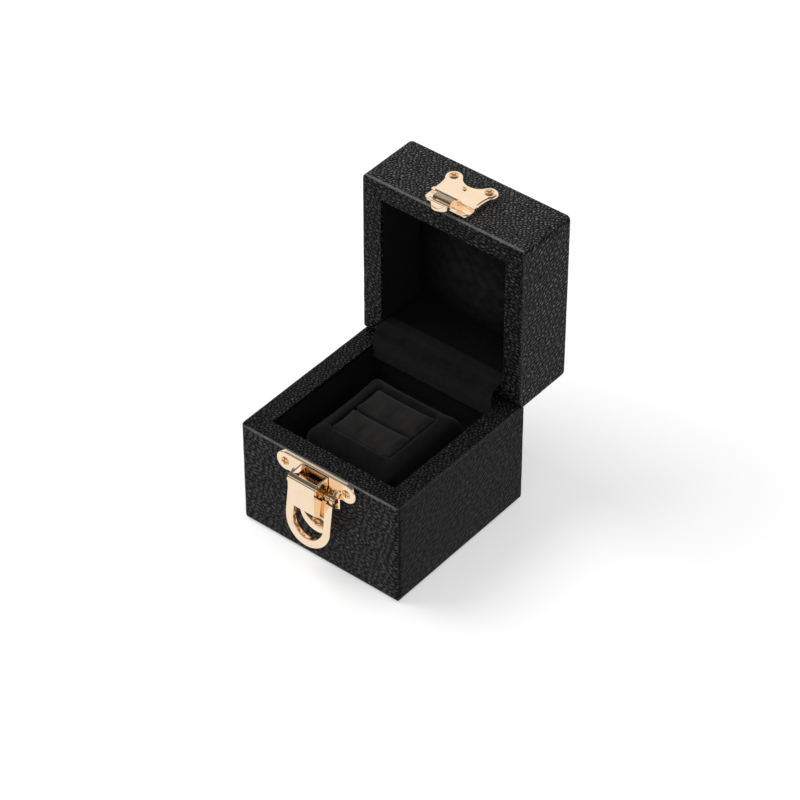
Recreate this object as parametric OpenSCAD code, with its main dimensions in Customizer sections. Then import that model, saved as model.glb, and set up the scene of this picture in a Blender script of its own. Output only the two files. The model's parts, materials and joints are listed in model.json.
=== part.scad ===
// Ring display box: a leather-covered wooden base and lid on two small butt
// hinges, suede linings, a raised ring cushion with a slit pad, and a cast
// push latch with a D-shaped ring that holds the hook on the lid.
// X runs along the front, the front face looks towards -Y, Z is up.
// The origin is the middle of the base's underside. The lid stands open.

/* [Box] */
// Width of the closed box, along the front
box_w = 80; // [74:1:100]
// Depth of the closed box, front to back
box_d = 80; // [74:1:100]
// Height of the closed box
box_h = 80; // [78:1:96]
// Height of the base, up to its rim
base_h = 49.5; // [48:0.5:54]
// Gap between the two rims when the lid is shut
parting_gap = 0.3; // [0.2:0.1:0.6]

/* [Edges] */
// Radius of the upright corners, outside
corner_r = 1.6; // [1.2:0.1:3]
// Radius of the base's bottom edges
bottom_r = 2.6; // [1.6:0.1:4]
// Radius of the lid's top edges
lid_top_r = 1.8; // [1.2:0.1:3]
// Radius of the folded rim edges
rim_r = 0.5; // [0.3:0.1:0.8]
// Radius of the base's rear top edge, which the lid turns over
base_rear_r = 4; // [3.9:0.1:5]
// Radius of the lid's rear rim edge
lid_rear_r = 5.5; // [5.4:0.1:6.5]

/* [Leather] */
// Thickness of the leather
leather_t = 0.8; // [0.6:0.1:1.2]
// How far the leather is turned down inside the mouth
turn_in = 1.3; // [1:0.1:2]
// How far the leather is turned in under the base
turn_under = 8; // [5:0.5:14]
// Glue line between neighbouring layers
glue_line = 0.1; // [0.05:0.05:0.15]
// Gap between the turned leather and the bottom sheet
sheet_gap = 0.3; // [0.2:0.1:0.6]

/* [Wooden core] */
// Thickness of the walls
wall_t = 7.3; // [6.5:0.1:8]
// Thickness of the base's floor
floor_t = 4; // [3:0.5:6]
// Thickness of the lid's top
roof_t = 4; // [3:0.5:5]

/* [Linings] */
// Thickness of the suede-covered card round the walls
lining_t = 0.9; // [0.7:0.1:1.4]
// Depth of the inner floor below the rim
floor_drop = 16.5; // [14:0.5:20]
// Thickness of the inner floor board
floor_board_t = 2; // [1.5:0.1:3]
// Thickness of the card frame that carries the floor board
riser_t = 1.5; // [1:0.1:2.5]
// Thickness of the card behind the lid's pad
lid_board_t = 1.2; // [0.8:0.1:2]
// Thickness of the lid's pad
lid_pad_t = 2; // [1.5:0.1:3]
// Radius of the lid pad's soft edges
lid_pad_r = 1.2; // [0.8:0.1:1.4]

/* [Ring cushion] */
// Width and depth of the cushion block across its top
cushion_w = 45; // [42:0.5:46]
// How much wider the block is at the floor, each side
cushion_draft = 0.5; // [0.2:0.1:1]
// Depth of the cushion's top below the rim
cushion_drop = 4.2; // [3:0.1:5]
// Radius of the block's soft top edges
cushion_r = 5.5; // [3:0.1:6]
// Radius of the block's upright corners
cushion_corner_r = 2; // [1.5:0.5:4]
// Width and depth of the ring pad
pad_w = 29.6; // [26:0.2:32]
// Thickness of the ring pad
pad_t = 6; // [4:0.5:7]
// Width of the slit that grips the ring
pad_slit = 1.2; // [0.8:0.1:2]
// Radius of the pad's soft edges
pad_r = 1.2; // [0.8:0.1:1.8]
// Gap between the pad and the block round it
pad_gap = 0.3; // [0.2:0.1:0.5]
// Thickness of the card under the ring pad
pad_board_t = 1.2; // [0.8:0.1:2]

/* [Hinges] */
// Distance of the hinge axis from the back face
hinge_in = 2.85; // [2.7:0.05:3]
// Height of the hinge axis above the base's rim
hinge_up = 1.25; // [1.2:0.05:1.4]
// Distance of each hinge's middle from the box's middle
hinge_x = 18; // [14:0.5:21]
// Length of each hinge
hinge_len = 14; // [10:0.5:16]
// Radius of the hinge's barrel
barrel_r = 1.4; // [1.25:0.05:1.45]
// Radius of the hinge pin
pin_r = 0.7; // [0.5:0.05:0.8]
// Running clearance round a pin
pin_clear = 0.05; // [0.03:0.01:0.08]
// Gap between neighbouring knuckles
knuckle_gap = 0.2; // [0.15:0.05:0.4]
// Thickness of the hinge leaves
leaf_t = 0.8; // [0.6:0.1:1]
// How deep a leaf is let into the wall, from the axis
leaf_depth = 12; // [8:0.5:14]
// Radius of the glue holes in the leaves
leaf_hole_r = 1; // [0.7:0.1:1.5]
// Place of the glue holes along a leaf, as a share of its depth
leaf_hole_at = 0.65; // [0.6:0.05:0.75]
// Clearance round the parts that are let into the wood
let_in_gap = 0.1; // [0.1:0.05:0.2]
// Room round the barrel in the leather and the wood
barrel_room = 0.5; // [0.3:0.05:0.6]

/* [Hinge strip] */
// Thickness of the suede strip that hides the hinges
strip_t = 0.8; // [0.6:0.1:1.2]
// Gap between the strip's ends and the side linings
strip_gap = 0.9; // [0.4:0.1:2]
// How far the strip is glued down inside the base and the lid
strip_tail = 5; // [3:0.5:8]
// How far the strip bulges away from the hinges
strip_bulge = 1; // [0.6:0.1:1.6]
// How far the strip stands off the two rims
strip_off = 0.3; // [0.2:0.05:0.5]

/* [Latch plate] */
// Thickness of the latch's base plate
plate_t = 1.7; // [1.5:0.05:1.8]
// Distance of the plate's ears from the middle
ear_x = 15.4; // [15.2:0.1:18]
// Depth of the ear screws below the rim
ear_drop = 4.5; // [4.5:0.1:5]
// Radius of the ears
ear_r = 4.5; // [4:0.1:4.5]
// Radius of the inner corner between ear and body
ear_fillet_r = 1.5; // [1:0.1:2]
// Half width of the plate's body
plate_x = 12; // [11.9:0.1:12.4]
// Depth of the lower lobe's centre below the rim
lobe_drop = 24.5; // [22:0.5:26]
// Radius of the lower lobe
lobe_r = 8.6; // [8:0.1:9]
// Depth below the rim where the body starts to narrow
waist_drop = 14.5; // [13.5:0.1:15.5]
// Half width of the body below its shoulders
neck_x = 9.5; // [9.2:0.1:10]
// Height of the shoulders' slope
neck_fall = 0.8; // [0.4:0.1:1.5]
// Depth of the lower screw below the rim
lobe_screw_drop = 27.5; // [26.5:0.5:28.5]

/* [Latch pivot] */
// Distance of the latch pin from the front face
pivot_out = 3.4; // [3.35:0.05:3.6]
// Depth of the latch pin below the rim
pivot_drop = 9; // [8.8:0.1:9.2]
// Radius of the latch pin
latch_pin_r = 0.8; // [0.7:0.05:0.85]
// Distance of the two lugs that hold the pin from the middle
lug_x = 9.9; // [9.8:0.1:10.2]
// Thickness of each lug
lug_t = 1.6; // [1.4:0.1:1.7]
// Radius of the lugs round the pin
lug_r = 2; // [1.8:0.05:2]
// How far the lugs widen upwards where they meet the plate
lug_flare = 1.4; // [0.8:0.1:2]
// Radius of the pin's riveted heads
rivet_r = 1.25; // [1.1:0.05:1.4]
// Thickness of the pin's riveted heads
rivet_t = 0.4; // [0.3:0.05:0.5]

/* [Latch spring] */
// Radius of the spring's wire
wire_r = 0.25; // [0.2:0.05:0.25]
// Inside radius of the coil is the pin's radius plus this gap
coil_gap = 0.2; // [0.15:0.05:0.25]
// Distance between neighbouring turns
coil_pitch = 0.62; // [0.6:0.02:0.64]
// Number of turns
coil_turns = 3; // [2:1:3]
// Length of the two legs
leg_len = 3.2; // [2.5:0.1:3.6]
// Gap between the coil and the lever's hood
coil_end_gap = 0.4; // [0.3:0.05:0.5]

/* [Latch hood] */
// Width of the hood
hood_w = 13.3; // [13:0.1:13.6]
// Depth of the hood's top below the rim, at its back
hood_drop = 0.5; // [0.5:0.1:1]
// How much lower the hood's top is at the brow
hood_fall = 0.4; // [0.2:0.1:0.6]
// Thickness of the hood's walls
hood_wall = 1.2; // [1:0.05:1.3]
// Thickness of the hood's top
hood_top_t = 1.9; // [1.8:0.1:2]
// Gap between the hood and the plate behind it
hood_gap = 0.3; // [0.3:0.05:0.4]
// Distance of the hood's front from the front face
hood_out = 10.4; // [10.2:0.1:10.8]
// Radius of the brow, the rounded edge between top and front
roll_r = 1.5; // [1.3:0.1:1.7]
// Depth below the rim where the hood's front ends
hood_foot_drop = 15; // [14.5:0.5:15.5]
// Width of the window in the hood's top
window_w = 9.8; // [9.6:0.1:10]
// Distance of the window's lip from the front face
lip_out = 5.95; // [5.9:0.05:6]
// Thickness of the window's lip
lip_t = 0.4; // [0.3:0.05:0.5]
// Width of the bar behind the window
bar_w = 0.4; // [0.35:0.05:0.45]
// Width of the slope from the hood's top down to the lip, in front
slope_front = 2.9; // [2.5:0.1:3]
// Width of the same slope at the window's sides
slope_side = 1.3; // [1:0.1:1.4]

/* [Latch ring] */
// Distance of the ring's front from the front face, at the arms' tops
arm_out = 5; // [4.9:0.1:5.2]
// Depth of the arms' tops below the rim
arm_drop = 11.3; // [11.3:0.1:12]
// Angle at which the ring stands off, in degrees
ring_tilt = 8; // [7:0.5:9]
// Thickness of the ring
ring_t = 2.2; // [2:0.1:2.2]
// Outer radius of the ring's round end
ring_r = 11.2; // [11:0.1:11.4]
// Inner radius of the ring's round end
ring_in_r = 7.6; // [7.4:0.1:7.8]
// Depth of the ring's arc centre below the rim
ring_drop = 24.5; // [24:0.5:25.5]
// Depth of the ring opening's flat top below the rim
ring_top_drop = 19.5; // [19:0.5:20]
// Width of the channel between the hood and each arm
channel_w = 1; // [0.8:0.1:1.4]
// Depth of that channel
channel_t = 1.1; // [0.6:0.1:1.3]
// Distance of the channel's lower end above the opening
channel_up = 1.2; // [1:0.1:2]
// Radius of the ring opening's two upper corners
ring_corner_r = 0.8; // [0.4:0.1:1.5]

/* [Hasp] */
// Thickness of the hasp's plate
hasp_t = 2.8; // [2.4:0.1:2.9]
// Distance of the hasp's ears from the middle
hasp_ear_x = 8.7; // [8:0.1:9]
// Height of the hasp's ears above the lid's rim
hasp_ear_up = 18; // [17.5:0.1:19]
// Radius of the hasp's ears
hasp_ear_r = 3.65; // [3:0.05:3.7]
// Radius of the notch between the ears
notch_r = 6.5; // [5.8:0.1:6.8]
// Half width of the hasp at its waist
waist_x = 10.5; // [10:0.1:10.6]
// Height of the waist above the lid's rim
waist_up = 10.5; // [10:0.1:11.5]
// Radius of the curved sides
waist_r = 20; // [18:0.5:30]
// Half width of the hasp at its feet
foot_x = 10.7; // [10.6:0.1:11.2]
// Height of the hasp's lower edge above the lid's rim
hasp_up = 1.4; // [1.2:0.1:2]
// Radius of the feet's corners
foot_r = 2; // [1:0.1:2.4]
// Height of the rivet above the lid's rim
hasp_rivet_up = 13.7; // [13:0.1:14]
// Thickness of the stepped-down feet
foot_t = 1.7; // [1.4:0.1:2]
// Height of the step above the lid's rim
foot_step_up = 6; // [5.5:0.1:6.4]
// Width of the groove across each foot
foot_groove_w = 0.5; // [0.3:0.1:0.7]
// Height of that groove above the hasp's lower edge
foot_groove_up = 1; // [0.6:0.1:1.2]

/* [Hook] */
// Half width of the hook's wide root
hook_root_x = 5.5; // [5.2:0.1:5.7]
// Height of the root's foot on the plate above the lid's rim
hook_root_up = 6; // [5.5:0.1:6.5]
// Distance of the root's crest from the front face
crest_out = 7.4; // [7:0.1:7.6]
// Height of the crest above the lid's rim
crest_up = 2.6; // [2.4:0.1:3]
// Height of the step under the crest
crest_step = 0.45; // [0.3:0.05:0.6]
// Distance of the hook's shoulder from the front face
shoulder_out = 6.8; // [6.6:0.1:6.9]
// How far the shoulder reaches below the lid's rim
shoulder_down = 0.4; // [0.2:0.1:0.4]
// Half width of the hook, and radius of its half-moon tip
tip_r = 4.3; // [4:0.1:4.4]
// How far the tip reaches below the lid's rim
tip_reach = 5; // [4.8:0.1:5.2]
// Distance of the tongue's inner face from the front face
tongue_in = 3.6; // [3.6:0.05:3.7]
// Distance of the tongue's outer face from the front face
tongue_out = 5.35; // [5.2:0.05:5.4]
// How far the neck's top lies below the shoulder
neck_down = 0.8; // [0.6:0.1:1]
// How far the tooth reaches in under the window's lip
tooth_bite = 0.5; // [0.3:0.05:0.5]
// Thickness of the tooth's blunt edge
tooth_t = 0.5; // [0.3:0.1:0.7]
// Gap between the tooth and the lip above it when shut
tooth_gap = 0.3; // [0.2:0.05:0.4]
// Thickness of the tongue at its tip
tip_t = 1.1; // [0.9:0.1:1.3]

/* [Screws] */
// Radius of the screws' shanks
screw_r = 0.75; // [0.6:0.05:0.9]
// Radius of the screws' heads
head_r = 1.9; // [1.6:0.1:2.1]
// Depth of the countersinks
sink_t = 0.85; // [0.6:0.05:0.9]
// How far the heads stand proud of the plates
head_proud = 0.3; // [0.2:0.05:0.4]
// Radius of a head's flat, as a share of the head's radius
head_flat = 0.7; // [0.6:0.05:0.8]
// Length of the slots, as a share of the head's width
slot_share = 0.8; // [0.6:0.05:0.85]
// Width and depth of the slots
slot_w = 0.5; // [0.4:0.05:0.6]
// How far the screws reach into the wood
screw_bite = 4; // [3:0.25:5]
// Clearance round screws and rivets
screw_gap = 0.05; // [0.03:0.01:0.1]
// Radius of the hasp's rivet
hasp_rivet_r = 0.6; // [0.5:0.05:0.8]
// How far the rivet's head reaches past its shank
rivet_rim = 0.4; // [0.3:0.05:0.6]

/* [Hidden] */
$fn = 64;

cut = 1;                                     // how far a cutter runs past a face
overlap = 0.05;                              // how far joined shapes reach into each other
opening_angle = 90;                          // how far the lid is drawn open

front_y = -box_d / 2;
back_y = box_d / 2;
skin = leather_t + glue_line;                // from the outside to the wood
layer = lining_t + glue_line;                // from the wood to the lining's face
lid_z = base_h + parting_gap;                // the lid's rim when shut
hinge_y = back_y - hinge_in;
hinge_z = base_h + hinge_up;

wood_in = [box_w / 2 - skin - wall_t, box_d / 2 - skin - wall_t];
mouth = [wood_in.x - skin, wood_in.y - skin];
lining_in = [wood_in.x - layer, wood_in.y - layer];
card = [lining_in.x - glue_line, lining_in.y - glue_line];  // boards inside the linings

base_wood_z = skin + floor_t;                // top of the wooden floor
floor_z = base_h - floor_drop;               // top of the inner floor
lid_wood_z = box_h - skin - roof_t;          // underside of the lid's wooden top
cushion_z = base_h - cushion_drop;
pad_well = pad_t + pad_board_t;

pivot_z = base_h - pivot_drop;
ear_z = base_h - ear_drop;
hood_back = plate_t + hood_gap;
hood_z = base_h - hood_drop;
hood_foot_z = base_h - hood_foot_drop;
lip_z = hood_z - hood_top_t;                 // underside of the window's lip
window_back = hood_back + bar_w;
coil_r = latch_pin_r + coil_gap + wire_r;    // middle of the spring's wire
arm_z = base_h - arm_drop;
opening_z = base_h - ring_top_drop;          // flat top of the ring's opening
tooth_out = lip_out + tooth_bite;
tooth_z = lip_z - tooth_gap;

// Distance of the ring's front from the front face at height z
function ring_front(z) = arm_out + (arm_z - z) * tan(ring_tilt);

// ---------------------------------------------------------------- shapes

// What is cut away outside a rounded corner; s points into the shape
module corner_waste(s, r) {
    difference() {
        translate([s.x > 0 ? -cut : -r, s.y > 0 ? -cut : -r]) square(r + cut);
        translate(s * r) circle(r = r);
    }
}

// Rectangle from a to b with its own radius at each corner, anticlockwise from a
module rounded_rect(a, b, r) {
    corner = [[a.x, a.y], [b.x, a.y], [b.x, b.y], [a.x, b.y]];
    inwards = [[1, 1], [-1, 1], [-1, -1], [1, -1]];
    difference() {
        translate(a) square(b - a);
        for (i = [0:3]) if (r[i] > 0) translate(corner[i]) corner_waste(inwards[i], r[i]);
    }
}

// Solid with its own edge radii in plan, seen from the side and seen from the front
module rounded_block(lo, hi, plan_r, side_r, front_r) {
    intersection() {
        translate([0, 0, lo.z]) linear_extrude(hi.z - lo.z)
            rounded_rect([lo.x, lo.y], [hi.x, hi.y], [plan_r, plan_r, plan_r, plan_r]);
        translate([lo.x, 0, 0]) rotate([90, 0, 90]) linear_extrude(hi.x - lo.x)
            rounded_rect([lo.y, lo.z], [hi.y, hi.z], side_r);
        translate([0, hi.y, 0]) rotate([90, 0, 0]) linear_extrude(hi.y - lo.y)
            rounded_rect([lo.x, lo.z], [hi.x, hi.z], front_r);
    }
}

// Upright box with a half width and a half depth
module centred_box(half, z0, z1) {
    translate([-half.x, -half.y, z0]) cube([2 * half.x, 2 * half.y, z1 - z0]);
}

// The outside of the base or the lid, moved in by inset
module base_shape(inset) {
    r = function(x) max(x - inset, 0);
    rounded_block([-box_w / 2 + inset, front_y + inset, inset],
        [box_w / 2 - inset, back_y - inset, base_h - inset], r(corner_r),
        [r(bottom_r), r(bottom_r), r(base_rear_r), r(rim_r)],
        [r(bottom_r), r(bottom_r), r(rim_r), r(rim_r)]);
}

module lid_shape(inset) {
    r = function(x) max(x - inset, 0);
    rounded_block([-box_w / 2 + inset, front_y + inset, lid_z + inset],
        [box_w / 2 - inset, back_y - inset, box_h - inset], r(corner_r),
        [r(rim_r), r(lid_rear_r), r(lid_top_r), r(lid_top_r)],
        [r(rim_r), r(rim_r), r(lid_top_r), r(lid_top_r)]);
}

// Moves what is drawn on the shut lid to where the lid stands open
module open_lid() {
    translate([0, hinge_y, hinge_z]) rotate([-opening_angle, 0, 0])
        translate([0, -hinge_y, -hinge_z]) children();
}

// Outline in (x, z) on the front face, thickened outwards
module on_front(t) {
    translate([0, front_y, 0]) rotate([90, 0, 0]) linear_extrude(t) children();
}

// Profile in (distance out of the front face, z), run across a width
module across(w, x = 0) {
    translate([x, front_y, 0]) rotate([90, 0, -90]) linear_extrude(w, center = true) children();
}

// Cylinder along X
module x_rod(r, x0, x1, y, z) {
    translate([x0, y, z]) rotate([0, 90, 0]) cylinder(h = x1 - x0, r = r);
}

// Bar with round ends between two points
module stadium(p, q, w) {
    d = q - p;
    translate(p) circle(r = w / 2);
    translate(q) circle(r = w / 2);
    translate(p) rotate(atan2(d.y, d.x)) translate([0, -w / 2]) square([norm(d), w]);
}

// Where the line from p touches the circle of radius r round c; side is 1 or -1
function tangent_point(c, r, p, side) =
    let (d = p - c, a = atan2(d.y, d.x) + side * acos(r / norm(d)))
    c + r * [cos(a), sin(a)];

// ---------------------------------------------------------------- fastenings

latch_screw_places = [[-ear_x, ear_z], [ear_x, ear_z], [0, base_h - lobe_screw_drop]];
hasp_screw_places = [for (s = [-1, 1]) [s * hasp_ear_x, lid_z + hasp_ear_up]];
hasp_rivet_place = [0, lid_z + hasp_rivet_up];

// Puts something at a place on the front face, pointing outwards
module at_front(place) {
    translate([place.x, front_y, place.y]) rotate([90, 0, 0]) children();
}

// Countersunk screw for a plate of thickness t, with a cross slot in its domed head
module screw(t) {
    tip = skin + screw_bite;
    slot = head_r * slot_share;
    difference() {
        union() {
            translate([0, 0, -tip]) cylinder(h = tip + t, r = screw_r);
            translate([0, 0, t - sink_t]) cylinder(h = sink_t, r1 = screw_r, r2 = head_r);
            translate([0, 0, t]) cylinder(h = head_proud, r1 = head_r, r2 = head_r * head_flat);
        }
        for (a = [0, 90]) rotate(a)
            translate([-slot, -slot_w / 2, t - slot_w / 2]) cube([2 * slot, slot_w, cut]);
    }
}

// The hole that such a screw needs in its plate
module screw_hole(t) {
    r = screw_r + screw_gap;
    translate([0, 0, -cut]) cylinder(h = t + 2 * cut, r = r);
    translate([0, 0, t - sink_t - screw_gap])
        cylinder(h = sink_t + screw_gap, r1 = r, r2 = head_r + 2 * screw_gap);
    translate([0, 0, t]) cylinder(h = cut, r = head_r + 2 * screw_gap);
}

// The hole that a shank needs in the leather and the wood
module shank_hole(r) {
    tip = skin + screw_bite + screw_gap;
    translate([0, 0, -tip]) cylinder(h = tip + cut, r = r + screw_gap);
}

module latch_shanks() {
    for (p = latch_screw_places) at_front(p) shank_hole(screw_r);
}

module hasp_shanks() {
    for (p = hasp_screw_places) at_front(p) shank_hole(screw_r);
    at_front(hasp_rivet_place) shank_hole(hasp_rivet_r);
}

// ---------------------------------------------------------------- hinges

knuckle = (hinge_len - 2 * knuckle_gap) / 3; // length of each of the three knuckles

// A knuckle from x0 to x1, with the pin's bore
module barrel(x0, x1) {
    difference() {
        x_rod(barrel_r, x0, x1, hinge_y, hinge_z);
        x_rod(pin_r + pin_clear, x0 - cut, x1 + cut, hinge_y, hinge_z);
    }
}

// Leaf that runs from the axis by leaf_depth, up or down
module leaf(dir) {
    z0 = dir > 0 ? hinge_z : hinge_z - leaf_depth;
    difference() {
        translate([-hinge_len / 2, hinge_y - leaf_t / 2, z0]) cube([hinge_len, leaf_t, leaf_depth]);
        x_rod(barrel_r - leaf_t / 2, -hinge_len, hinge_len, hinge_y, hinge_z);
        for (s = [-1, 1])
            translate([s * hinge_len / 3, hinge_y + cut + leaf_t, hinge_z + dir * leaf_depth * leaf_hole_at])
                rotate([90, 0, 0]) cylinder(h = 2 * (cut + leaf_t), r = leaf_hole_r);
    }
}

// Room that a leaf leaves for the other leaf's knuckles
module knuckle_room(x0, x1) {
    x_rod(barrel_r + knuckle_gap, x0, x1, hinge_y, hinge_z);
}

// Slot for a leaf and room for the barrel, cut from leather and wood
module hinge_cuts(dir) {
    half = hinge_len / 2 + let_in_gap;
    deep = leaf_depth + let_in_gap;
    for (s = [-1, 1]) translate([s * hinge_x, 0, 0]) {
        translate([-half, hinge_y - leaf_t / 2 - let_in_gap, dir > 0 ? hinge_z : hinge_z - deep])
            cube([2 * half, leaf_t + 2 * let_in_gap, deep]);
        x_rod(barrel_r + barrel_room, -half - let_in_gap, half + let_in_gap, hinge_y, hinge_z);
    }
}

module hinge_base_leaves() {
    color("peru") for (s = [-1, 1]) translate([s * hinge_x, 0, 0]) {
        for (m = [0, 1]) mirror([m, 0, 0]) barrel(knuckle / 2 + knuckle_gap, hinge_len / 2);
        difference() {
            leaf(-1);
            knuckle_room(-knuckle / 2 - knuckle_gap, knuckle / 2 + knuckle_gap);
        }
    }
}

module hinge_lid_leaves() {
    color("peru") open_lid() for (s = [-1, 1]) translate([s * hinge_x, 0, 0]) {
        barrel(-knuckle / 2, knuckle / 2);
        difference() {
            leaf(1);
            for (m = [0, 1]) mirror([m, 0, 0]) knuckle_room(knuckle / 2, hinge_len / 2 + cut);
        }
    }
}

module hinge_pins() {
    color("goldenrod") for (s = [-1, 1])
        x_rod(pin_r, s * hinge_x - hinge_len / 2, s * hinge_x + hinge_len / 2, hinge_y, hinge_z);
}

// Suede strip over the hinges: down inside the base, across the corner, into the lid
module hinge_strip() {
    half = lining_in.x - strip_gap;
    off = glue_line + strip_t / 2;
    lid_rim_y = hinge_y + lid_z - hinge_z;            // the lid's rim, lid open
    lid_floor_z = hinge_z + hinge_y - lining_in.y;    // the lid lining's face, lid open
    low = [lining_in.y - off, base_h + strip_off];
    high = [lid_rim_y - strip_off, lid_floor_z + off];
    along = (high - low) / norm(high - low);
    middle = (low + high) / 2 + strip_bulge * [-along.y, along.x];
    color("dimgray") translate([-half, 0, 0]) rotate([90, 0, 90]) linear_extrude(2 * half) {
        stadium([low.x, base_h - strip_tail], low, strip_t);
        stadium(low, middle, strip_t);
        stadium(middle, high, strip_t);
        stadium(high, [lid_rim_y + strip_tail, high.y], strip_t);
    }
}

// ---------------------------------------------------------------- base

module base_core() {
    color("tan") difference() {
        base_shape(skin);
        centred_box(wood_in, base_wood_z, base_h + cut);
        hinge_cuts(-1);
        latch_shanks();
    }
}

module base_leather() {
    under = [box_w / 2 - turn_under, box_d / 2 - turn_under];
    color([0.16, 0.16, 0.17]) difference() {
        base_shape(0);
        difference() {
            base_shape(leather_t);
            centred_box(wood_in - [glue_line, glue_line], base_h - turn_in, base_h);
        }
        centred_box(mouth, base_wood_z, base_h + cut);
        centred_box(under, -cut, base_wood_z);
        hinge_cuts(-1);
        latch_shanks();
    }
}

module base_bottom_sheet() {
    edge = turn_under + sheet_gap;
    color([0.12, 0.12, 0.12]) centred_box([box_w / 2 - edge, box_d / 2 - edge], 0, leather_t);
}

module wall_lining(z0, z1) {
    difference() {
        centred_box(wood_in - [glue_line, glue_line], z0, z1);
        centred_box(lining_in, z0 - cut, z1 + cut);
    }
}

module base_wall_lining() {
    color([0.22, 0.22, 0.23]) wall_lining(base_wood_z, base_h - turn_in - glue_line);
}

module base_riser() {
    color("silver") difference() {
        centred_box(card, base_wood_z, floor_z - floor_board_t);
        centred_box(card - [riser_t, riser_t], base_wood_z - cut, floor_z);
    }
}

module base_floor_board() {
    color([0.2, 0.2, 0.21]) centred_box(card, floor_z - floor_board_t, floor_z);
}

// Side of the cushion block: drafted, with soft shoulders
module cushion_profile() {
    top = cushion_w / 2;
    foot = top + cushion_draft;
    lean = atan2(cushion_draft, cushion_z - floor_z);
    centre = [top - cushion_r * (1 - sin(lean)) / cos(lean), cushion_z - cushion_r];
    touch = centre + cushion_r * [cos(lean), sin(lean)];
    for (m = [0, 1]) mirror([m, 0]) {
        polygon([[0, floor_z], [foot, floor_z], touch, centre, [centre.x, cushion_z], [0, cushion_z]]);
        translate(centre) circle(r = cushion_r);
    }
}

module cushion_block() {
    foot = cushion_w / 2 + cushion_draft;
    run = 2 * foot + 2 * cut;
    well = [pad_w / 2 + pad_gap, pad_w / 2 + pad_gap];
    r = cushion_corner_r;
    color([0.25, 0.25, 0.26]) difference() {
        intersection() {
            translate([-run / 2, 0, 0]) rotate([90, 0, 90]) linear_extrude(run) cushion_profile();
            translate([0, run / 2, 0]) rotate([90, 0, 0]) linear_extrude(run) cushion_profile();
            translate([0, 0, floor_z]) linear_extrude(cushion_z - floor_z)
                rounded_rect([-foot, -foot], [foot, foot], [r, r, r, r]);
        }
        centred_box(well, cushion_z - pad_well, cushion_z + cut);
    }
}

module pad_board() {
    z = cushion_z - pad_well;
    color("silver") centred_box([pad_w / 2, pad_w / 2], z, z + pad_board_t);
}

// One half of the ring pad, behind the slit
module pad_half() {
    rounded_block([-pad_w / 2, pad_slit / 2, cushion_z - pad_t], [pad_w / 2, pad_w / 2, cushion_z],
        pad_r / 2, [0, 0, pad_r, pad_r], [0, 0, pad_r, pad_r]);
}

module ring_pad_back() {
    color([0.28, 0.27, 0.27]) pad_half();
}

module ring_pad_front() {
    color([0.28, 0.27, 0.27]) mirror([0, 1, 0]) pad_half();
}

// ---------------------------------------------------------------- lid

module lid_core() {
    color("tan") open_lid() difference() {
        lid_shape(skin);
        centred_box(wood_in, lid_z, lid_wood_z);
        hinge_cuts(1);
        hasp_shanks();
    }
}

module lid_leather() {
    color([0.16, 0.16, 0.17]) open_lid() difference() {
        lid_shape(0);
        difference() {
            lid_shape(leather_t);
            centred_box(wood_in - [glue_line, glue_line], lid_z, lid_z + turn_in);
        }
        centred_box(mouth, lid_z - cut, lid_wood_z);
        hinge_cuts(1);
        hasp_shanks();
    }
}

module lid_wall_lining() {
    color([0.22, 0.22, 0.23]) open_lid() wall_lining(lid_z + turn_in + glue_line, lid_wood_z);
}

module lid_board() {
    color("silver") open_lid() centred_box(card, lid_wood_z - lid_board_t, lid_wood_z);
}

module lid_pad() {
    z1 = lid_wood_z - lid_board_t;
    r = lid_pad_r;
    color([0.24, 0.24, 0.25]) open_lid()
        rounded_block([-card.x, -card.y, z1 - lid_pad_t], [card.x, card.y, z1], 0,
            [r, r, 0, 0], [r, r, 0, 0]);
}

// ---------------------------------------------------------------- latch

module latch_plate_outline() {
    lobe = [0, base_h - lobe_drop];
    reach = ear_r + ear_fillet_r;
    ear = [ear_x, ear_z];
    fillet_x = plate_x + ear_fillet_r;
    fillet = [fillet_x, ear_z - sqrt(pow(reach, 2) - pow(ear_x - fillet_x, 2))];
    meet = ear + (fillet - ear) * ear_r / reach;
    waist_z = base_h - waist_drop;
    neck = [neck_x, waist_z - neck_fall];
    touch = tangent_point(lobe, lobe_r - overlap, neck, -1);
    translate(lobe) circle(r = lobe_r);
    for (m = [0, 1]) mirror([m, 0]) {
        translate(ear) circle(r = ear_r);
        difference() {
            polygon([[0, ear_z + ear_r], [ear_x, ear_z + ear_r], ear, meet,
                [plate_x, fillet.y], [plate_x, waist_z], neck, touch, lobe]);
            translate(fillet) circle(r = ear_fillet_r);
        }
    }
}

// Side of a lug: round the pin, widened upwards where it meets the plate
module lug_profile() {
    translate([pivot_out, pivot_z]) circle(r = lug_r);
    polygon([[plate_t / 2, pivot_z - lug_r], [pivot_out, pivot_z - lug_r],
        [pivot_out, pivot_z + lug_r], [plate_t, pivot_z + lug_r + lug_flare],
        [plate_t / 2, pivot_z + lug_r + lug_flare]]);
}

module latch_plate() {
    color("gold") difference() {
        union() {
            on_front(plate_t) latch_plate_outline();
            for (s = [-1, 1]) across(lug_t, s * (lug_x + lug_t / 2)) lug_profile();
        }
        x_rod(latch_pin_r + pin_clear, -plate_x, plate_x, front_y - pivot_out, pivot_z);
        for (p = latch_screw_places) at_front(p) screw_hole(plate_t);
    }
}

module latch_plate_screws() {
    color("gold") for (p = latch_screw_places) at_front(p) screw(plate_t);
}

module latch_pin() {
    y = front_y - pivot_out;
    end = lug_x + lug_t;
    color("goldenrod") {
        x_rod(latch_pin_r, -end - rivet_t, end + rivet_t, y, pivot_z);
        x_rod(rivet_r, end, end + rivet_t, y, pivot_z);
        x_rod(rivet_r, -end - rivet_t, -end, y, pivot_z);
    }
}

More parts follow.
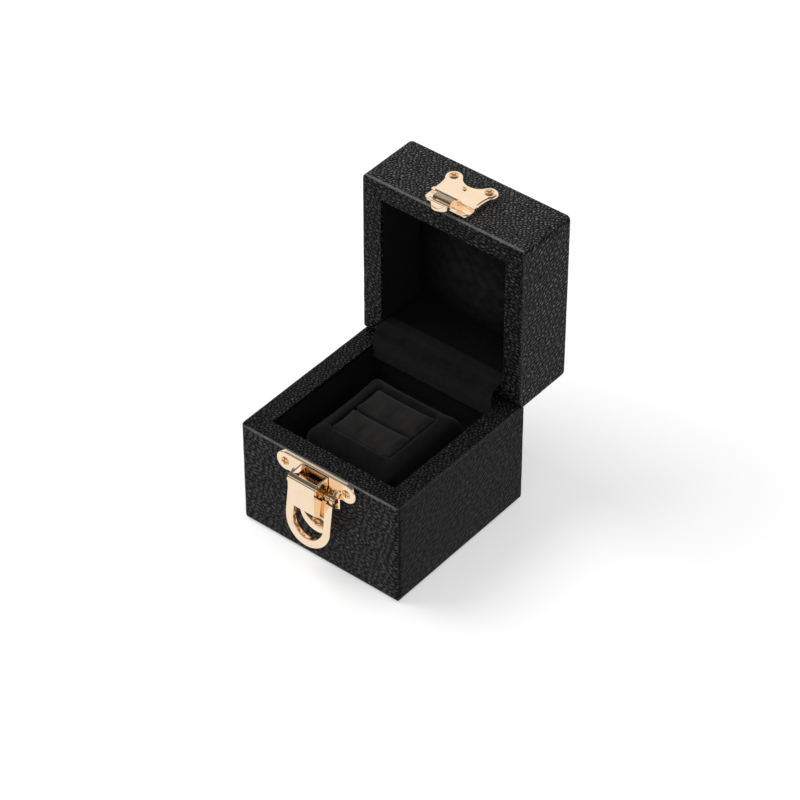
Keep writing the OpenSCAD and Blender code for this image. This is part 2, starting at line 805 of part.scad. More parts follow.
// Torsion spring on the pin: its upper leg lies along the plate, its lower leg
// behind the ring's arm. The wire is swept along a leg, the turns and the other leg.
module latch_spring() {
    steps = 20;                              // rings of the sweep in one turn
    sides = 6;                               // corners of each ring
    start = 180;                             // the turns start at the plate's side
    turn = 360 * coil_turns;
    count = steps * coil_turns;
    x0 = hood_w / 2 + coil_end_gap + wire_r;
    leg = [0, 0, leg_len];
    centre = function(a) [x0 + coil_pitch * (a - start) / 360, -coil_r * cos(a), coil_r * sin(a)];
    ring = function(c, a) [for (i = [0:sides - 1]) let (b = 360 * i / sides)
        c + wire_r * [sin(b), -cos(b) * cos(a), cos(b) * sin(a)]];
    upper = [ring(centre(start) + leg, start)];
    coil = [for (i = [0:count]) let (a = start + turn * i / count) ring(centre(a), a)];
    lower = [ring(centre(start + turn) - leg, start)];
    rings = concat(upper, coil, lower);
    n = len(rings);
    points = [for (r = rings) each r];
    walls = [for (i = [0:n - 2], j = [0:sides - 1]) let (k = (j + 1) % sides)
        each [[i * sides + j, (i + 1) * sides + j, (i + 1) * sides + k],
              [i * sides + j, (i + 1) * sides + k, i * sides + k]]];
    end_caps = [[for (j = [0:sides - 1]) j], [for (j = [sides - 1:-1:0]) (n - 1) * sides + j]];
    color("darkgoldenrod") translate([0, front_y - pivot_out, pivot_z])
        polyhedron(points, concat(walls, end_caps));
}

// Outside of the hood in (out, z), rooted inside the ring's plate
module hood_profile() {
    brow = [hood_out - roll_r, hood_z - hood_fall - roll_r];
    foot_z = opening_z + overlap;
    root_z = arm_z - hood_gap;
        translate(brow) circle(r = roll_r);
    polygon([[hood_back, hood_z], brow + [0, roll_r], brow, brow + [roll_r, 0],
        [hood_out, hood_foot_z], [ring_front(foot_z) - hood_gap, foot_z],
        [ring_front(root_z) - ring_t / 2, root_z], [hood_back, pivot_z - hood_gap]]);
}

// Its hollow, open towards the plate
module hood_hollow_profile() {
    inner = hood_out - hood_wall;
    hollow_z = (hood_foot_z + opening_z) / 2 + hood_wall;
    fall = (hood_out - ring_front(opening_z)) / (hood_foot_z - opening_z);
    polygon([[hood_back - cut, lip_z], [inner, lip_z], [inner, hood_foot_z],
        [inner - fall * (hood_foot_z - hollow_z), hollow_z], [hood_back - cut, hollow_z]]);
}

// Window in the hood's top, and the slopes from the top down to its lip
module window() {
    x = window_w / 2;
    low = lip_z + lip_t;
    wide = window_w + 2 * slope_side;
    far = lip_out + slope_front;
    translate([-x, front_y - lip_out, lip_z - cut])
        cube([window_w, lip_out - window_back, cut + hood_top_t]);
    intersection() {
        across(wide) polygon([[window_back, low], [lip_out, low], [far, hood_z], [window_back, hood_z]]);
        on_front(far) polygon([[-x, low], [x, low], [x + slope_side, hood_z], [-x - slope_side, hood_z]]);
    }
}

// The ring as a flat shape; its y axis starts at the arms' tops
module ring_outline() {
    down = function(z) (z - arm_z) / cos(ring_tilt);
    centre = [0, down(base_h - ring_drop)];
    difference() {
        union() {
            translate(centre) circle(r = ring_r);
            translate([-ring_r, centre.y]) square([2 * ring_r, -centre.y]);
        }
        translate(centre) circle(r = ring_in_r);
        rounded_rect([-ring_in_r, centre.y], [ring_in_r, down(opening_z)],
            [0, 0, ring_corner_r, ring_corner_r]);
    }
}

module ring_plate() {
    foot = (arm_z - opening_z - channel_up) / cos(ring_tilt);    // length of the channels
    translate([0, front_y - arm_out, arm_z]) rotate([90 - ring_tilt, 0, 0]) difference() {
        translate([0, 0, -ring_t]) linear_extrude(ring_t) ring_outline();
        for (m = [0, 1]) mirror([m, 0, 0]) translate([hood_w / 2 - overlap, -foot, -channel_t])
            cube([channel_w + overlap, foot + cut, channel_t + cut]);
    }
}

module latch_lever() {
    color("gold") difference() {
        union() {
            ring_plate();
            across(hood_w) hood_profile();
        }
        across(hood_w - 2 * hood_wall) hood_hollow_profile();
        window();
        x_rod(latch_pin_r + pin_clear, -hood_w, hood_w, front_y - pivot_out, pivot_z);
    }
}

// ---------------------------------------------------------------- hasp

module hasp_outline() {
    ear = [hasp_ear_x, lid_z + hasp_ear_up];
    reach = notch_r + hasp_ear_r;
    notch = [0, ear.y + sqrt(pow(reach, 2) - pow(ear.x, 2))];
    meet = ear + (notch - ear) * hasp_ear_r / reach;
    hollow = [waist_x + waist_r, lid_z + waist_up];
    side = function(z) hollow.x - sqrt(pow(waist_r, 2) - pow(z - hollow.y, 2));
    for (m = [0, 1]) mirror([m, 0]) {
        translate(ear) circle(r = hasp_ear_r);
        difference() {
            union() {
                rounded_rect([0, lid_z + hasp_up], [foot_x, hollow.y], [0, foot_r, 0, 0]);
                polygon([[0, hollow.y], [foot_x, hollow.y], [side(ear.y), ear.y], ear, meet,
                    [meet.x, notch.y], [0, notch.y]]);
            }
            translate(notch) circle(r = notch_r);
            translate(hollow) circle(r = waist_r);
        }
    }
}

// Hook in (out, z): a crested root, a shoulder, a neck, and a tooth at its tip
module hook_profile() {
    root_z = lid_z + hook_root_up;
    crest_z = lid_z + crest_up;
    step_z = crest_z - crest_step;
    shoulder_z = lid_z - shoulder_down;
    tip_z = lid_z - tip_reach;
    polygon([[hasp_t / 2, root_z], [hasp_t, root_z], [crest_out - crest_step / 2, crest_z + crest_step],
        [crest_out, crest_z], [crest_out, step_z], [crest_out - crest_step, step_z - crest_step / 2],
        [shoulder_out, shoulder_z], [tongue_out, shoulder_z - neck_down], [tongue_out, tooth_z],
        [tooth_out, tooth_z], [tooth_out, tooth_z - tooth_t], [tongue_in + tip_t, tip_z],
        [tongue_in, tip_z], [tongue_in, lid_z], [hasp_t, lid_z + hasp_up],
        [hasp_t / 2, lid_z + hasp_up]]);
}

// Hook in (x, z): a wide root above, a half-moon tip below
module hook_outline() {
    step_z = lid_z + crest_up - 2 * crest_step;
    tip_z = lid_z - tip_reach + tip_r;
    translate([0, tip_z]) circle(r = tip_r);
    translate([-tip_r, tip_z]) square([2 * tip_r, lid_z + hook_root_up - tip_z]);
    translate([-hook_root_x, step_z]) square([2 * hook_root_x, lid_z + hook_root_up - step_z]);
}

// What is taken off one foot: the step, and a groove across it
module foot_cut() {
    wide = foot_x - hook_root_x;
    translate([hook_root_x, front_y - hasp_t - cut, lid_z]) {
        cube([wide, hasp_t + cut - foot_t, foot_step_up]);
        translate([0, 0, hasp_up + foot_groove_up])
            cube([wide - foot_r, hasp_t + cut - foot_t + foot_groove_w / 2, foot_groove_w]);
    }
}

module hasp() {
    color("gold") open_lid() difference() {
        union() {
            difference() {
                on_front(hasp_t) hasp_outline();
                for (m = [0, 1]) mirror([m, 0, 0]) foot_cut();
            }
            intersection() {
                across(2 * hook_root_x) hook_profile();
                on_front(crest_out + cut) hook_outline();
            }
        }
        for (p = hasp_screw_places) at_front(p) screw_hole(hasp_t);
        at_front(hasp_rivet_place) translate([0, 0, -cut])
            cylinder(h = hasp_t + 2 * cut, r = hasp_rivet_r + screw_gap);
    }
}

module hasp_screws() {
    color("gold") open_lid() for (p = hasp_screw_places) at_front(p) screw(hasp_t);
}

module hasp_rivet() {
    head_r1 = hasp_rivet_r + rivet_rim;
    color("gold") open_lid() at_front(hasp_rivet_place) {
        translate([0, 0, -skin - screw_bite])
            cylinder(h = skin + screw_bite + hasp_t, r = hasp_rivet_r);
        translate([0, 0, hasp_t]) cylinder(h = head_proud, r1 = head_r1, r2 = head_r1 * head_flat);
    }
}

// ---------------------------------------------------------------- assembly

base_core();
base_leather();
base_bottom_sheet();
base_wall_lining();
base_riser();
base_floor_board();
cushion_block();
pad_board();
ring_pad_front();
ring_pad_back();
hinge_base_leaves();
hinge_pins();
hinge_strip();
latch_plate();
latch_plate_screws();
latch_pin();
latch_spring();
latch_lever();
lid_core();
lid_leather();
lid_wall_lining();
lid_board();
lid_pad();
hinge_lid_leaves();
hasp();
hasp_screws();
hasp_rivet();
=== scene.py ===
import json
import math

import bmesh
import bpy
from mathutils import Matrix, Vector, noise


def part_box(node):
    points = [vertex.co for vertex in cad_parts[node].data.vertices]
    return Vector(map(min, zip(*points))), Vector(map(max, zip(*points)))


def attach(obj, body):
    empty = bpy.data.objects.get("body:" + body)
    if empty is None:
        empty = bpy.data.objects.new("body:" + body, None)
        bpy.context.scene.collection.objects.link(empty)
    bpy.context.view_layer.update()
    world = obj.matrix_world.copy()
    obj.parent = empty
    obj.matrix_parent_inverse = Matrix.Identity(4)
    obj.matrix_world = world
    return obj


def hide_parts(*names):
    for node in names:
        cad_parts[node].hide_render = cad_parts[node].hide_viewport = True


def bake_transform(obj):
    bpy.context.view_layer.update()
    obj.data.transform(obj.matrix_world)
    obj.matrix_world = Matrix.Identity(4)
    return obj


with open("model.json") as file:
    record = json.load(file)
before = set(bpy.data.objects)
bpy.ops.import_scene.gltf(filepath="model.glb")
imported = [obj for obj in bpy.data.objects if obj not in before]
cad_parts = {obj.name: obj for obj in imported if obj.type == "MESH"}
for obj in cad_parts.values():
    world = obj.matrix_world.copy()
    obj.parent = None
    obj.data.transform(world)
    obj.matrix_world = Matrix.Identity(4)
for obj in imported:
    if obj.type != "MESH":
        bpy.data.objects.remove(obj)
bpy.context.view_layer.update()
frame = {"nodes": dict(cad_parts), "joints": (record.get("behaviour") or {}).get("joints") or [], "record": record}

record = frame["record"]
mm = 0.001
sceneData = bpy.context.scene
sceneData.view_settings.view_transform = "Standard"
print("frame loaded:", len(frame["nodes"]), "nodes")


# places worked out from the frame

baseLow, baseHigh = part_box("base_leather")
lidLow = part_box("lid_leather")[0]
hinge = Vector(next(j["pos_m"] for j in frame["joints"] if j["name"] == "lid_hinge"))
rimZ = baseHigh.z
lidRimY = lidLow.y
openLid = Matrix.Translation(hinge) @ Matrix.Rotation(-math.pi / 2, 4, "X") @ Matrix.Translation(-hinge)
shutLid = openLid.inverted()


def shutBox(node):
    a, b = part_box(node)
    corners = [shutLid @ Vector((x, y, z)) for x in (a.x, b.x) for y in (a.y, b.y) for z in (a.z, b.z)]
    return (Vector([min(c[i] for c in corners) for i in range(3)]),
            Vector([max(c[i] for c in corners) for i in range(3)]))


# helpers for materials

def addNode(tree, kind, inputs=None, **settings):
    made = tree.nodes.new(kind)
    for key, value in settings.items():
        setattr(made, key, value)
    for key, value in (inputs or {}).items():
        if isinstance(value, bpy.types.NodeSocket):
            tree.links.new(value, made.inputs[key])
        else:
            made.inputs[key].default_value = value
    return made


def newMaterial(name, **values):
    made = bpy.data.materials.new(name)
    made.use_nodes = True
    shader = made.node_tree.nodes["Principled BSDF"]
    for key, value in values.items():
        shader.inputs[key.replace("_", " ")].default_value = value
    return made, made.node_tree, shader


def objectPlace(tree, scale=(1, 1, 1), turn=(0, 0, 0)):
    place = addNode(tree, "ShaderNodeTexCoord")
    moved = addNode(tree, "ShaderNodeMapping", {"Vector": place.outputs["Object"], "Rotation": turn,
                                                "Scale": scale})
    return moved.outputs["Vector"]


def mathNode(tree, operation, a, b=0.0, c=0.0):
    return addNode(tree, "ShaderNodeMath", {0: a, 1: b, 2: c}, operation=operation).outputs[0]


def mapRange(tree, value, low, high, toLow, toHigh):
    return addNode(tree, "ShaderNodeMapRange", {"Value": value, "From Min": low, "From Max": high,
                                                "To Min": toLow, "To Max": toHigh}).outputs[0]


def vectorNode(tree, operation, a, b=(0, 0, 0)):
    made = addNode(tree, "ShaderNodeVectorMath", {0: a, 1: b}, operation=operation)
    return made.outputs["Value" if operation == "LENGTH" else "Vector"]


def noiseNode(tree, place, scale, detail=3.0, rough=0.5):
    return addNode(tree, "ShaderNodeTexNoise", {"Vector": place, "Scale": scale, "Detail": detail,
                                                "Roughness": rough}).outputs


def mixColour(tree, share, colourA, colourB):
    made = addNode(tree, "ShaderNodeMix", {0: share, 6: colourA, 7: colourB}, data_type="RGBA",
                   clamp_factor=False)
    return made.outputs[2]


def bump(tree, shader, height, distance):
    made = addNode(tree, "ShaderNodeBump", {"Height": height, "Distance": distance, "Strength": 1.0})
    tree.links.new(made.outputs["Normal"], shader.inputs["Normal"])


# pebble-grained leather

baseGrain = {
    # the grooves' and the pebbles' colours: grain, with painted shade in the grooves and painted highlights on the
    # pebble tops
    "grooveColour": (0.0012, 0.0012, 0.0013, 1),
    "pebbleColour": (0.04, 0.04, 0.0405, 1),
    # light grey of the folded edges: wear, and a painted highlight along them
    "foldColour": (0.24, 0.24, 0.245, 1),
    # one value each for the faces that look along x, y and z
    "turns": (0.45, -0.23, 0.5),
    "lengths": (3.3 * mm, 2.6 * mm, 1.5 * mm),
    "widths": (1.2 * mm, 1.15 * mm, 1.1 * mm),
    # painted light and shade: the leather's colour is made lighter or darker by which way a face looks
    "facingLight": (0.5, 5.6, 3.2),
    "contrasts": (1.5, 1.5, 1.25),
    # scales, distances and reach count in pebbles
    "wanderScale": 0.55,         # slow bends of the rows of pebbles
    "wanderReach": 1.1,
    "uneven": 0.85,              # 0 would be a regular pattern
    "rise": (0.02, 0.3, 0.0, 1.0),      # two distances from the groove, and the heights there
    "fall": (0.1, 0.75, 1.0, 0.15),     # two distances from a pebble's middle, and the heights there
    "fineScale": 3.5,            # creases on the pebbles
    "fineRange": (0.35, 0.65),
    "fineHeight": 0.45,
    "fineTone": (0.2, 1.35),
    "wideScale": 0.3,            # the hide's own unevenness
    "wideHeight": 0.7,
    "chanceTone": (0.65, 1.25),  # how far the pebbles differ from one another
    "foldHeight": 0.4,           # what is left of the pebbles on a fold
    "foldShown": (0.3, 1.0),     # share of the fold colour, which is wear and painted highlight, in the creases and between them
    "foldGloss": 0.08,
    "depth": 1.2 * mm,
    "rough": (0.6, 0.36),        # in the grooves and on the pebbles
    "specular": 0.08,
}
# the lid's faces are painted lighter or darker by their own facing values
lidGrain = dict(baseGrain, turns=(0.35, -0.2, 0.6), lengths=(2.5 * mm, 2.4 * mm, 1.5 * mm),
                widths=(1.7 * mm, 1.3 * mm, 1.1 * mm), facingLight=(5.2, 4.0, 8.8),
                contrasts=(2.0, 1.4, 1.25), specular=0.1)


def grainPlace(tree, look):
    # the largest part of the normal tells which of the three grains, and which painted facing light and shade, a
    # face takes
    place = addNode(tree, "ShaderNodeTexCoord")
    spot = addNode(tree, "ShaderNodeSeparateXYZ", {0: place.outputs["Object"]}).outputs
    facing = addNode(tree, "ShaderNodeSeparateXYZ", {0: place.outputs["Normal"]}).outputs
    size = [mathNode(tree, "ABSOLUTE", facing[i]) for i in range(3)]
    alongX = mathNode(tree, "GREATER_THAN", size[0], mathNode(tree, "MAXIMUM", size[1], size[2]))
    alongZ = mathNode(tree, "GREATER_THAN", size[2], mathNode(tree, "MAXIMUM", size[0], size[1]))

    def chosen(x, y, z):
        first = mathNode(tree, "MULTIPLY_ADD", alongX, x - y, y)
        return mathNode(tree, "MULTIPLY_ADD", alongZ, z - y, first)

    def swapped(share, a, b):
        return addNode(tree, "ShaderNodeMix", {0: share, 2: a, 3: b}, data_type="FLOAT").outputs[0]

    across = swapped(alongX, spot[0], spot[1])
    up = swapped(alongZ, spot[2], spot[1])
    angle = chosen(*look["turns"])
    cosine, sine = mathNode(tree, "COSINE", angle), mathNode(tree, "SINE", angle)
    along = mathNode(tree, "ADD", mathNode(tree, "MULTIPLY", across, cosine),
                     mathNode(tree, "MULTIPLY", up, sine))
    beside = mathNode(tree, "SUBTRACT", mathNode(tree, "MULTIPLY", up, cosine),
                      mathNode(tree, "MULTIPLY", across, sine))
    along = mathNode(tree, "MULTIPLY", along, chosen(*[1 / v for v in look["lengths"]]))
    beside = mathNode(tree, "MULTIPLY", beside, chosen(*[1 / v for v in look["widths"]]))
    flat = addNode(tree, "ShaderNodeCombineXYZ", {0: along, 1: beside, 2: 0.0}).outputs[0]
    return flat, chosen(*look["facingLight"]), chosen(*look["contrasts"])


def leatherMaterial(name, look):
    made, tree, shader = newMaterial(name, Specular_IOR_Level=look["specular"])
    place, facingLightShare, contrast = grainPlace(tree, look)
    wander = noiseNode(tree, place, look["wanderScale"], 2.0)["Color"]
    reach = look["wanderReach"]
    place = vectorNode(tree, "ADD", place, vectorNode(tree, "MULTIPLY", wander, (reach, reach, 0)))
    cells = {"Vector": place, "Scale": 1.0, "Randomness": look["uneven"]}
    edges = addNode(tree, "ShaderNodeTexVoronoi", cells, feature="DISTANCE_TO_EDGE",
                    voronoi_dimensions="2D").outputs["Distance"]
    pebble = addNode(tree, "ShaderNodeTexVoronoi", cells, voronoi_dimensions="2D").outputs
    chance = addNode(tree, "ShaderNodeSeparateXYZ", {0: pebble["Color"]}).outputs[0]
    dome = mathNode(tree, "MULTIPLY", mapRange(tree, edges, *look["rise"]),
                    mapRange(tree, pebble["Distance"], *look["fall"]))
    fine = noiseNode(tree, place, look["fineScale"], 4.0, 0.6)["Fac"]
    wide = noiseNode(tree, place, look["wideScale"], 2.0)["Fac"]
    fold = addNode(tree, "ShaderNodeAttribute", attribute_name="fold").outputs["Fac"]

    height = mathNode(tree, "MULTIPLY_ADD", fine, look["fineHeight"], dome)
    height = mathNode(tree, "MULTIPLY_ADD", wide, look["wideHeight"], height)
    height = mathNode(tree, "MULTIPLY", height, mapRange(tree, fold, 0.0, 1.0, 1.0, look["foldHeight"]))
    bump(tree, shader, height, look["depth"])

    # partly grain and random tone, partly painted light: the pebble tops are painted lighter as highlights, the
    # grooves darker as shade
    shine = mathNode(tree, "MULTIPLY", mapRange(tree, fine, *look["fineRange"], *look["fineTone"]),
                     mapRange(tree, chance, 0.0, 1.0, *look["chanceTone"]))
    shine = mathNode(tree, "POWER", mathNode(tree, "MULTIPLY", dome, shine), contrast)
    # painted light and shade by the way the face looks
    shine = mathNode(tree, "MULTIPLY", shine, facingLightShare)
    colour = mixColour(tree, shine, look["grooveColour"], look["pebbleColour"])
    # the folded edges are painted lighter: wear, and a painted highlight
    worn = mathNode(tree, "MULTIPLY", fold, mapRange(tree, fine, *look["fineRange"], *look["foldShown"]))
    tree.links.new(mixColour(tree, worn, colour, look["foldColour"]), shader.inputs["Base Color"])

    rough = mapRange(tree, mathNode(tree, "MULTIPLY_ADD", fine, 0.5, dome), 0.0, 1.3, *look["rough"])
    rough = mathNode(tree, "MULTIPLY_ADD", fold, -look["foldGloss"], rough)
    tree.links.new(rough, shader.inputs["Roughness"])
    return made


# suede, with a pool of light painted on the lid's panel

suedeLook = {
    "brushScale": 260,
    "brushStretch": (1, 0.35, 1),
    "brushTurn": (0, 0, 0.5),
    "napShare": 0.55,
    "brushShare": 0.55,
    "range": (0.35, 0.8),
    "depth": 0.12 * mm,
}
# painted light: where the panel's pool of light lies, how far it reaches, and how it fades
panelLightPool = {
    "centre": sum(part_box("lid_pad"), Vector()) / 2 + Vector((5, 0, -4)) * mm,
    "reach": (31 * mm, 1.0, 31 * mm),           # across, through and up the panel
    "fade": (0.25, 1.1),
}


def suedeMaterial(name, dark, light, napScale=2600, sheen=0.16, paintedLightPool=None):
    made, tree, shader = newMaterial(name, Specular_IOR_Level=0.1, Sheen_Weight=sheen, Sheen_Roughness=0.5,
                                     Sheen_Tint=(0.5, 0.5, 0.53, 1), Roughness=0.95)
    nap = noiseNode(tree, objectPlace(tree), napScale, 4.0, 0.65)["Fac"]
    brushed = noiseNode(tree, objectPlace(tree, suedeLook["brushStretch"], suedeLook["brushTurn"]),
                        suedeLook["brushScale"], 3.0, 0.55)["Fac"]
    share = mathNode(tree, "MULTIPLY_ADD", nap, suedeLook["napShare"],
                     mathNode(tree, "MULTIPLY", brushed, suedeLook["brushShare"]))
    share = mapRange(tree, share, *suedeLook["range"], 0.0, 1.0)
    bump(tree, shader, share, suedeLook["depth"])
    if paintedLightPool:
        # painted light and shade: the panel is lighter round one spot and darker away from it
        away = vectorNode(tree, "SUBTRACT", objectPlace(tree), paintedLightPool["centre"])
        far = vectorNode(tree, "LENGTH", vectorNode(tree, "DIVIDE", away, paintedLightPool["reach"]))
        share = mathNode(tree, "MULTIPLY", share, mapRange(tree, far, *paintedLightPool["fade"], 1.0, 0.0))
    tree.links.new(mixColour(tree, share, dark, light), shader.inputs["Base Color"])
    return made


# metals and boards

metalLooks = {
    "lightGold": {"colour": (0.96, 0.74, 0.53, 1), "worn": (0.975, 0.78, 0.58, 1), "rough": (0.07, 0.12)},
    "screwGold": {"colour": (0.8, 0.5, 0.22, 1), "worn": (0.86, 0.6, 0.32, 1), "rough": (0.08, 0.16)},
    "hingeBrass": {"colour": (0.72, 0.5, 0.24, 1), "worn": (0.78, 0.6, 0.34, 1), "rough": (0.25, 0.4)},
    "springWire": {"colour": (0.86, 0.6, 0.32, 1), "worn": (0.9, 0.7, 0.45, 1), "rough": (0.12, 0.22)},
}
polish = {"cloudScale": 180, "hairScale": 5200, "hairDepth": 0.002 * mm}


def metalMaterial(name):
    look = metalLooks[name]
    made, tree, shader = newMaterial(name, Metallic=1.0)
    cloud = noiseNode(tree, objectPlace(tree), polish["cloudScale"], 3.0)["Fac"]
    along = objectPlace(tree, (1, 0.15, 0.15), (0.3, 0.4, 0.2))
    hairs = noiseNode(tree, along, polish["hairScale"], 2.0)["Fac"]
    share = mapRange(tree, cloud, 0.35, 0.7, 0.0, 1.0)
    tree.links.new(mixColour(tree, share, look["colour"], look["worn"]), shader.inputs["Base Color"])
    tree.links.new(mapRange(tree, cloud, 0.3, 0.7, *look["rough"]), shader.inputs["Roughness"])
    bump(tree, shader, hairs, polish["hairDepth"])
    return made


def boardMaterial(name, dark, light, scale):
    made, tree, shader = newMaterial(name, Roughness=0.9, Specular_IOR_Level=0.2)
    fibres = noiseNode(tree, objectPlace(tree, (1, 1, 2.2)), scale, 5.0, 0.65)["Fac"]
    share = mapRange(tree, fibres, 0.35, 0.65, 0.0, 1.0)
    tree.links.new(mixColour(tree, share, dark, light), shader.inputs["Base Color"])
    bump(tree, shader, fibres, 0.1 * mm)
    return made


baseHide = leatherMaterial("baseLeather", baseGrain)
lidHide = leatherMaterial("lidLeather", lidGrain)
# painted shade: the linings' and boards' suede is kept darker than the pads', for the shade deep inside the box
suede = suedeMaterial("shadedBlackSuede", (0.0014, 0.0014, 0.0015, 1), (0.0065, 0.0065, 0.0068, 1), sheen=0.1)
# painted light: the panel's suede reaches a lighter colour than the rest, for the lit middle of the panel
litPanelSuede = suedeMaterial("litPanelSuede", (0.001, 0.001, 0.0011, 1), (0.036, 0.036, 0.0366, 1), sheen=0.03,
                           paintedLightPool=panelLightPool)
padSuede = suedeMaterial("padSuede", (0.011, 0.0106, 0.01, 1), (0.032, 0.0304, 0.0287, 1))
blockSuede = suedeMaterial("blockSuede", (0.004, 0.0039, 0.0038, 1), (0.013, 0.0126, 0.0122, 1))
stripSuede = suedeMaterial("stripSuede", (0.002, 0.002, 0.0021, 1), (0.012, 0.012, 0.0123, 1), sheen=0.22)
flockedPaper = suedeMaterial("flockedPaper", (0.01, 0.01, 0.01, 1), (0.02, 0.02, 0.02, 1), 4200, 0.1)
gold, screwGold, brass, wire = [metalMaterial(name) for name in metalLooks]
fibreboard = boardMaterial("fibreboard", (0.3, 0.2, 0.12, 1), (0.46, 0.34, 0.22, 1), 1500)
greyCard = boardMaterial("greyCard", (0.27, 0.26, 0.24, 1), (0.42, 0.4, 0.37, 1), 1100)
print("materials made")


# helpers for meshes

bodyOf = {node: body for body, nodes in record["behaviour"]["bodies"].items() for node in nodes}
meshLimits = {
    "weld": 0.002 * mm,
    "flat": math.radians(0.4),   # faces that meet at less count as one
    "edge": math.radians(28),    # edges that turn more are broken
    "cut": 0.001 * mm,
}


def copiedMesh(node, dissolved=True):
    bm = bmesh.new()
    bm.from_mesh(frame["nodes"][node].data)
    bmesh.ops.remove_doubles(bm, verts=bm.verts, dist=meshLimits["weld"])
    if dissolved:
        bmesh.ops.dissolve_limit(bm, angle_limit=meshLimits["flat"], verts=bm.verts, edges=bm.edges)
    return bm


def addPiece(name, bm, material, nodes, body=None, smooth=40):
    # edges that turn by more than smooth degrees stay sharp, and with 0 none does
    bmesh.ops.recalc_face_normals(bm, faces=bm.faces)
    if bm.calc_volume(signed=True) < 0:
        bmesh.ops.reverse_faces(bm, faces=bm.faces)     # a thin shell can come out inside out
    for face in bm.faces:
        face.smooth = True
        face.material_index = 0
    data = bpy.data.meshes.new(name)
    bm.to_mesh(data)
    bm.free()
    data.materials.clear()
    data.materials.append(material)
    if smooth:
        data.set_sharp_from_angle(angle=math.radians(smooth))
    piece = bpy.data.objects.new(name, data)
    sceneData.collection.objects.link(piece)
    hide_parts(*nodes)
    if body != "none":
        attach(piece, body or bodyOf[nodes[0]])
    return piece


def cutPlane(bm, spot, normal):
    bmesh.ops.bisect_plane(bm, geom=bm.verts[:] + bm.edges[:] + bm.faces[:], dist=meshLimits["cut"],
                           plane_co=spot, plane_no=normal)


def gridCut(bm, low, high, step, border):
    for i in range(3):
        count = max(1, round((high[i] - low[i]) / step))
        places = [low[i] + (high[i] - low[i]) * k / count for k in range(1, count)]
        for at in places + [low[i] + border, high[i] - border]:
            spot, normal = Vector((0, 0, 0)), Vector((0, 0, 0))
            spot[i], normal[i] = at, 1
            cutPlane(bm, spot, normal)


def convexEdges(bm):
    return [e for e in bm.edges
            if len(e.link_faces) == 2 and e.calc_face_angle_signed(0) > meshLimits["edge"]]


def breakEdges(bm, edges, width, strength="NONE"):
    # strength tells the shading which faces are the flats that stay flat
    bmesh.ops.bevel(bm, geom=edges, offset=width, offset_type="OFFSET", segments=4, profile=0.5,
                    affect="EDGES", clamp_overlap=False, material=-1, face_strength_mode=strength)


def arc(centre, radius, start, end, steps):
    turns = [math.radians(start + (end - start) * k / steps) for k in range(steps + 1)]
    return [(centre[0] + radius * math.cos(turn), centre[1] + radius * math.sin(turn)) for turn in turns]


def rectLoop(half, radius, pull, perSide, perCorner):
    # points round a rectangle with round corners, whose sides pull in between them
    points = []
    corners = []
    for sideX, sideY, start in ((1, -1, -90), (1, 1, 0), (-1, 1, 90), (-1, -1, 180)):
        centre = (sideX * (half[0] - radius), sideY * (half[1] - radius))
        corners.append([Vector((x, y, 0)) for x, y in arc(centre, radius, start, start + 90, perCorner)])
    for i, corner in enumerate(corners):
        points += corner
        a, b = corner[-1], corners[(i + 1) % 4][0]
        out = Vector((b.y - a.y, a.x - b.x, 0)).normalized()
        for k in range(1, perSide):
            t = k / perSide
            points.append(a.lerp(b, t) - out * pull * (1 - (2 * t - 1) ** 2))
    return points


def loft(rings):
    # one closed loop of edges, extruded from ring to ring
    bm = bmesh.new()
    number = bm.verts.layers.int.new("number")
    row = [bm.verts.new(p) for p in rings[0]]
    for k, v in enumerate(row):
        v[number] = k
    loops = [[bm.edges.new((a, b)) for a, b in zip(row, row[1:] + row[:1])]]
    for ring in rings[1:]:
        made = bmesh.ops.extrude_edge_only(bm, edges=loops[-1])["geom"]
        for v in [g for g in made if isinstance(g, bmesh.types.BMVert)]:
            v.co = ring[v[number]]
        loops.append([g for g in made if isinstance(g, bmesh.types.BMEdge)])
    bm.verts.layers.int.remove(number)
    return bm, loops


def closeEnds(bm, loops):
    for loop in (loops[0], loops[-1]):
        bmesh.ops.edgeloop_fill(bm, edges=loop)
    bmesh.ops.triangulate(bm, faces=[f for f in bm.faces if len(f.verts) > 4], quad_method="BEAUTY",
                          ngon_method="BEAUTY")
    bmesh.ops.recalc_face_normals(bm, faces=bm.faces)


# leather over the base and the lid

wrap = {
    "gridStep": 2.0 * mm,
    "border": 1.0 * mm,
    "nearOutside": 0.6 * mm,     # points as near as this to an outer face belong to it
    "nearRim": 0.05 * mm,
    "nearSeam": 0.02 * mm,
    "corner": 2.4 * mm,          # least radius that the leather takes over the wood's corners
    "rimEdge": 0.5 * mm,         # width of the line along the rim painted lighter, for wear and as a painted highlight
    "rimWearAndHighlight": (1.15, 0.35, 5 * mm),     # mean, swing and length of the changes
    "sideWearAndHighlight": 0.25,            # how much of that wear and painted highlight the left and right walls show
    "edgeWearAndHighlight": (0.3, 0.3, 4 * mm),      # the same three for the other edges
    "baseRear": 4.0 * mm,        # radii of the two edges that meet behind the hinges
    "lidRear": 5.5 * mm,
    "plump": 0.1 * mm,           # how far the leather swells there
    "plumpBand": 0.15 * mm,
    "plumpFrom": 0.7,            # cosine of the angle at which the swelling starts
    "wave": 0.05 * mm,           # soft unevenness of the glued leather
    "waveLength": 9 * mm,
    "edgeWave": 0.09 * mm,       # unevenness of the folded edges
    "edgeWaveLength": 3.2 * mm,
    "rimWave": 0.6,              # share of it that the rim's flat takes
    "mostOut": 0.04 * mm,        # most that any of this moves the leather outwards
    "seamWidth": 0.35 * mm,      # mitred corners of the rim
    "seamDepth": 0.25 * mm,
}


